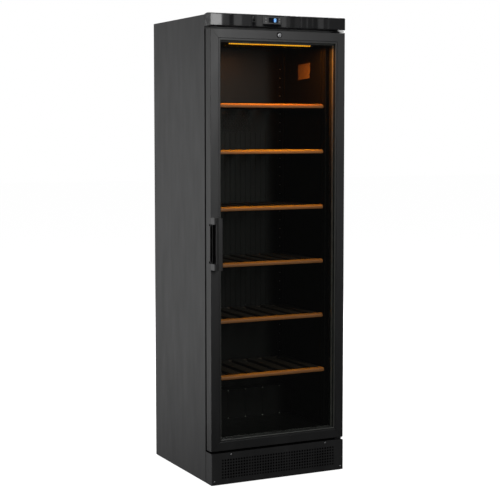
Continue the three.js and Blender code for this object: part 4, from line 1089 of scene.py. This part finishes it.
def flat_mesh(name, corners, material):
    mesh = bpy.data.meshes.new(name)
    mesh.from_pydata([tuple(c) for c in corners], [], [(0, 1, 2, 3)])
    mesh.materials.append(material)
    made = bpy.data.objects.new(name, mesh)
    bpy.context.scene.collection.objects.link(made)
    return made


def mirrored(x, z, distance):
    """Where the camera's ray that meets the fascia's face at (x, z) goes, that far in front of it."""
    point = at(x, 0, z)
    ray = point - CAMERA_PLACE
    share = distance / ray.y
    return Vector((point.x + ray.x * share, point.y - distance, point.z + ray.z * share))


def build_studio_strips():
    """Upright strip lights behind the camera, which the fascia's gloss panel mirrors as streaks."""
    distance = 6.0
    strips = [
        (-297, -250, 7.5), (-250, -217, 0.68), (-217, -199, 0.17), (-198, -164, 1.3),
        (-164, -120, 0.53), (-102, -73, 1.1), (9, 30, 1.25), (30, 48, 0.55), (48, 66, 0.25),
        (67, 92, 0.42), (94, 100, 0.75), (100, 120, 0.28), (120.5, 126, 0.75), (126, 146, 0.25),
        (146.5, 151, 0.6), (151, 172, 0.2), (173, 200, 0.8), (203, 217, 0.32), (218, 223, 0.75),
        (224, 292, 0.28),
    ]
    for number, (left, right, strength) in enumerate(strips, 1):
        corners = [
            mirrored(left, PANEL_LOW - 1, distance),
            mirrored(right, PANEL_LOW - 1, distance),
            mirrored(right, PANEL_HIGH + 1, distance),
            mirrored(left, PANEL_HIGH + 1, distance),
        ]
        card = flat_mesh(f"studio_strip_{number}", corners, emitter("strip_light", strength))
        only_seen_in_mirrors(card)


def soft_light(name, source, target, size, power, colour=WHITE, mirrored_too=True):
    """A rectangular lamp at the source, turned towards the target, which the camera doesn't see."""
    lamp = bpy.data.lights.new(name, "AREA")
    lamp.shape = "RECTANGLE"
    lamp.size, lamp.size_y = size
    lamp.energy = power
    lamp.color = colour
    made = bpy.data.objects.new(name, lamp)
    made.location = source
    made.rotation_euler = (Vector(target) - Vector(source)).to_track_quat("-Z", "Y").to_euler()
    made.visible_camera = False
    made.visible_glossy = mirrored_too
    bpy.context.scene.collection.objects.link(made)
    return made


def build_world():
    """White for the camera's own rays, and only a little light for everything else."""
    world = bpy.data.worlds.new("studio")
    world.use_nodes = True
    tree = world.node_tree
    tree.nodes.clear()
    seen, ambient, mirrored_part = (
        new_node(tree, "ShaderNodeBackground", {"Color": WHITE, "Strength": strength})
        for strength in (1.0, 0.07, 0.012)
    )
    rays = new_node(tree, "ShaderNodeLightPath").outputs
    others = {"Fac": rays["Is Glossy Ray"], 1: ambient, 2: mirrored_part}
    unseen = new_node(tree, "ShaderNodeMixShader", others)
    mix = new_node(tree, "ShaderNodeMixShader", {"Fac": rays["Is Camera Ray"], 1: unseen, 2: seen})
    new_node(tree, "ShaderNodeOutputWorld", {"Surface": mix})
    bpy.context.scene.world = world


def build_floor():
    """A wide pale floor, bright enough to meet the white behind it without an edge."""
    finish = Finish("pale_floor", (0.8, 0.8, 0.8), 0.9)
    finish.mottle((0.78, 0.78, 0.78), (0.82, 0.82, 0.82), 3)
    finish.set("Emission Color", WHITE)
    finish.set("Emission Strength", 0.94)
    finish.material.cycles.emission_sampling = "NONE"
    far = 30.0
    corners = [(-far, -far, 0), (far, -far, 0), (far, far, 0), (-far, far, 0)]
    floor = flat_mesh("pale_floor", corners, finish.material)
    floor.visible_glossy = False
    floor.visible_diffuse = False


def build_softboxes():
    """Soft light from both sides, the front, the back and above."""
    middle = Vector((0, 0, 0.95))
    soft_light("left_softbox", (-4.6, 0.75, 0.95), middle, (3.4, 3.6), 134)
    soft_light("back_left_softbox", (-3.2, 4.4, 0.7), middle, (3.0, 3.6), 32)
    soft_light("front_high_softbox", (1.05, -4.7, 2.55), (0, -0.26, 1.4), (0.7, 2.7), 88)
    soft_light("right_softbox", (4.6, 1.6, 1.1), middle, (2.6, 3.2), 60)
    soft_light("back_right_softbox", (3.4, 3.6, 2.4), middle, (2.4, 2.4), 70)
    soft_light("top_softbox", (0.0, 0.6, 4.2), middle, (2.5, 2.5), 30)


def build_cavity_light():
    """Warm light along the lamp and, weaker from shelf to shelf, just behind the glass."""
    warm = (1.0, 0.3, 0.025)
    amber = (0.9, 0.62, 0.0)
    lamp_length = lamp_high.x - lamp_low.x
    lamp_middle = (lamp_low + lamp_high) / 2
    start = Vector((lamp_middle.x, lamp_middle.y, lamp_low.z - 2 * MM))
    soft_light("lamp_glow", start, start + Vector((0, 0.02, -1)), (lamp_length, 0.012), 2.0, warm)
    powers = [0.36, 0.66, 0.24, 0.06, 0.07, 0.12]
    lit = bpy.data.collections.new("lit_by_washes")
    for number in SHELVES:
        lit.objects.link(bpy.data.objects[f"shelf_strip_{number}"])
    for number, power in zip(SHELVES, powers):
        low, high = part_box(f"shelf_front_{number}")
        source = Vector((0, at(0, 40, 0).y, high.z + 95 * MM))
        target = Vector((0, low.y + 5 * MM, high.z))
        size = (0.44, 0.01)
        wash = soft_light(f"shelf_wash_{number}", source, target, size, power, amber, mirrored_too=False)
        wash.light_linking.receiver_collection = lit


def build_camera():
    yaw, pitch, roll = (math.radians(a) for a in (CAMERA_YAW, CAMERA_PITCH, CAMERA_ROLL))
    ahead = math.cos(pitch)
    forward = Vector((math.sin(yaw) * ahead, math.cos(yaw) * ahead, -math.sin(pitch)))
    level_right = forward.cross(Vector((0, 0, 1))).normalized()
    level_up = level_right.cross(forward)
    right = level_right * math.cos(roll) + level_up * math.sin(roll)
    up = level_up * math.cos(roll) - level_right * math.sin(roll)
    data = bpy.data.cameras.new("camera")
    data.lens = CAMERA_LENS
    data.sensor_width = 36
    data.shift_y = CAMERA_SHIFT
    data.clip_end = 100
    camera = bpy.data.objects.new("camera", data)
    turn = Matrix((right, up, -forward)).transposed().to_4x4()
    camera.matrix_world = Matrix.Translation(CAMERA_PLACE) @ turn
    bpy.context.scene.collection.objects.link(camera)
    bpy.context.scene.camera = camera


# ---- the whole scene
bpy.context.scene.view_settings.view_transform = "Standard"
build_camera()
build_world()
build_floor()
build_softboxes()
build_studio_strips()

cleanup = cleaning_group("round_piece_cleanup", 32)
flat_cleanup = cleaning_group("flat_piece_cleanup", 12)
make_finishes()
dress_cad_nodes()
build_kick_plate()
build_filter_frame()
build_kick_screws()
build_fascia_panel()
build_display()
build_button_signs()
build_gasket()
build_glass_seal()
build_painted_reflection_strip()
build_lock_face()
for shelf in SHELVES:
    build_shelf_front(shelf)
    build_shelf_rack(shelf)
build_cavity_light()
build_lamp()
build_duct_cover()
build_air_cover()
build_pilasters()
build_wall_beads()
build_raised_floor_details()
build_label()
build_back_panel()
build_bay_lining()
build_inlet_pins()
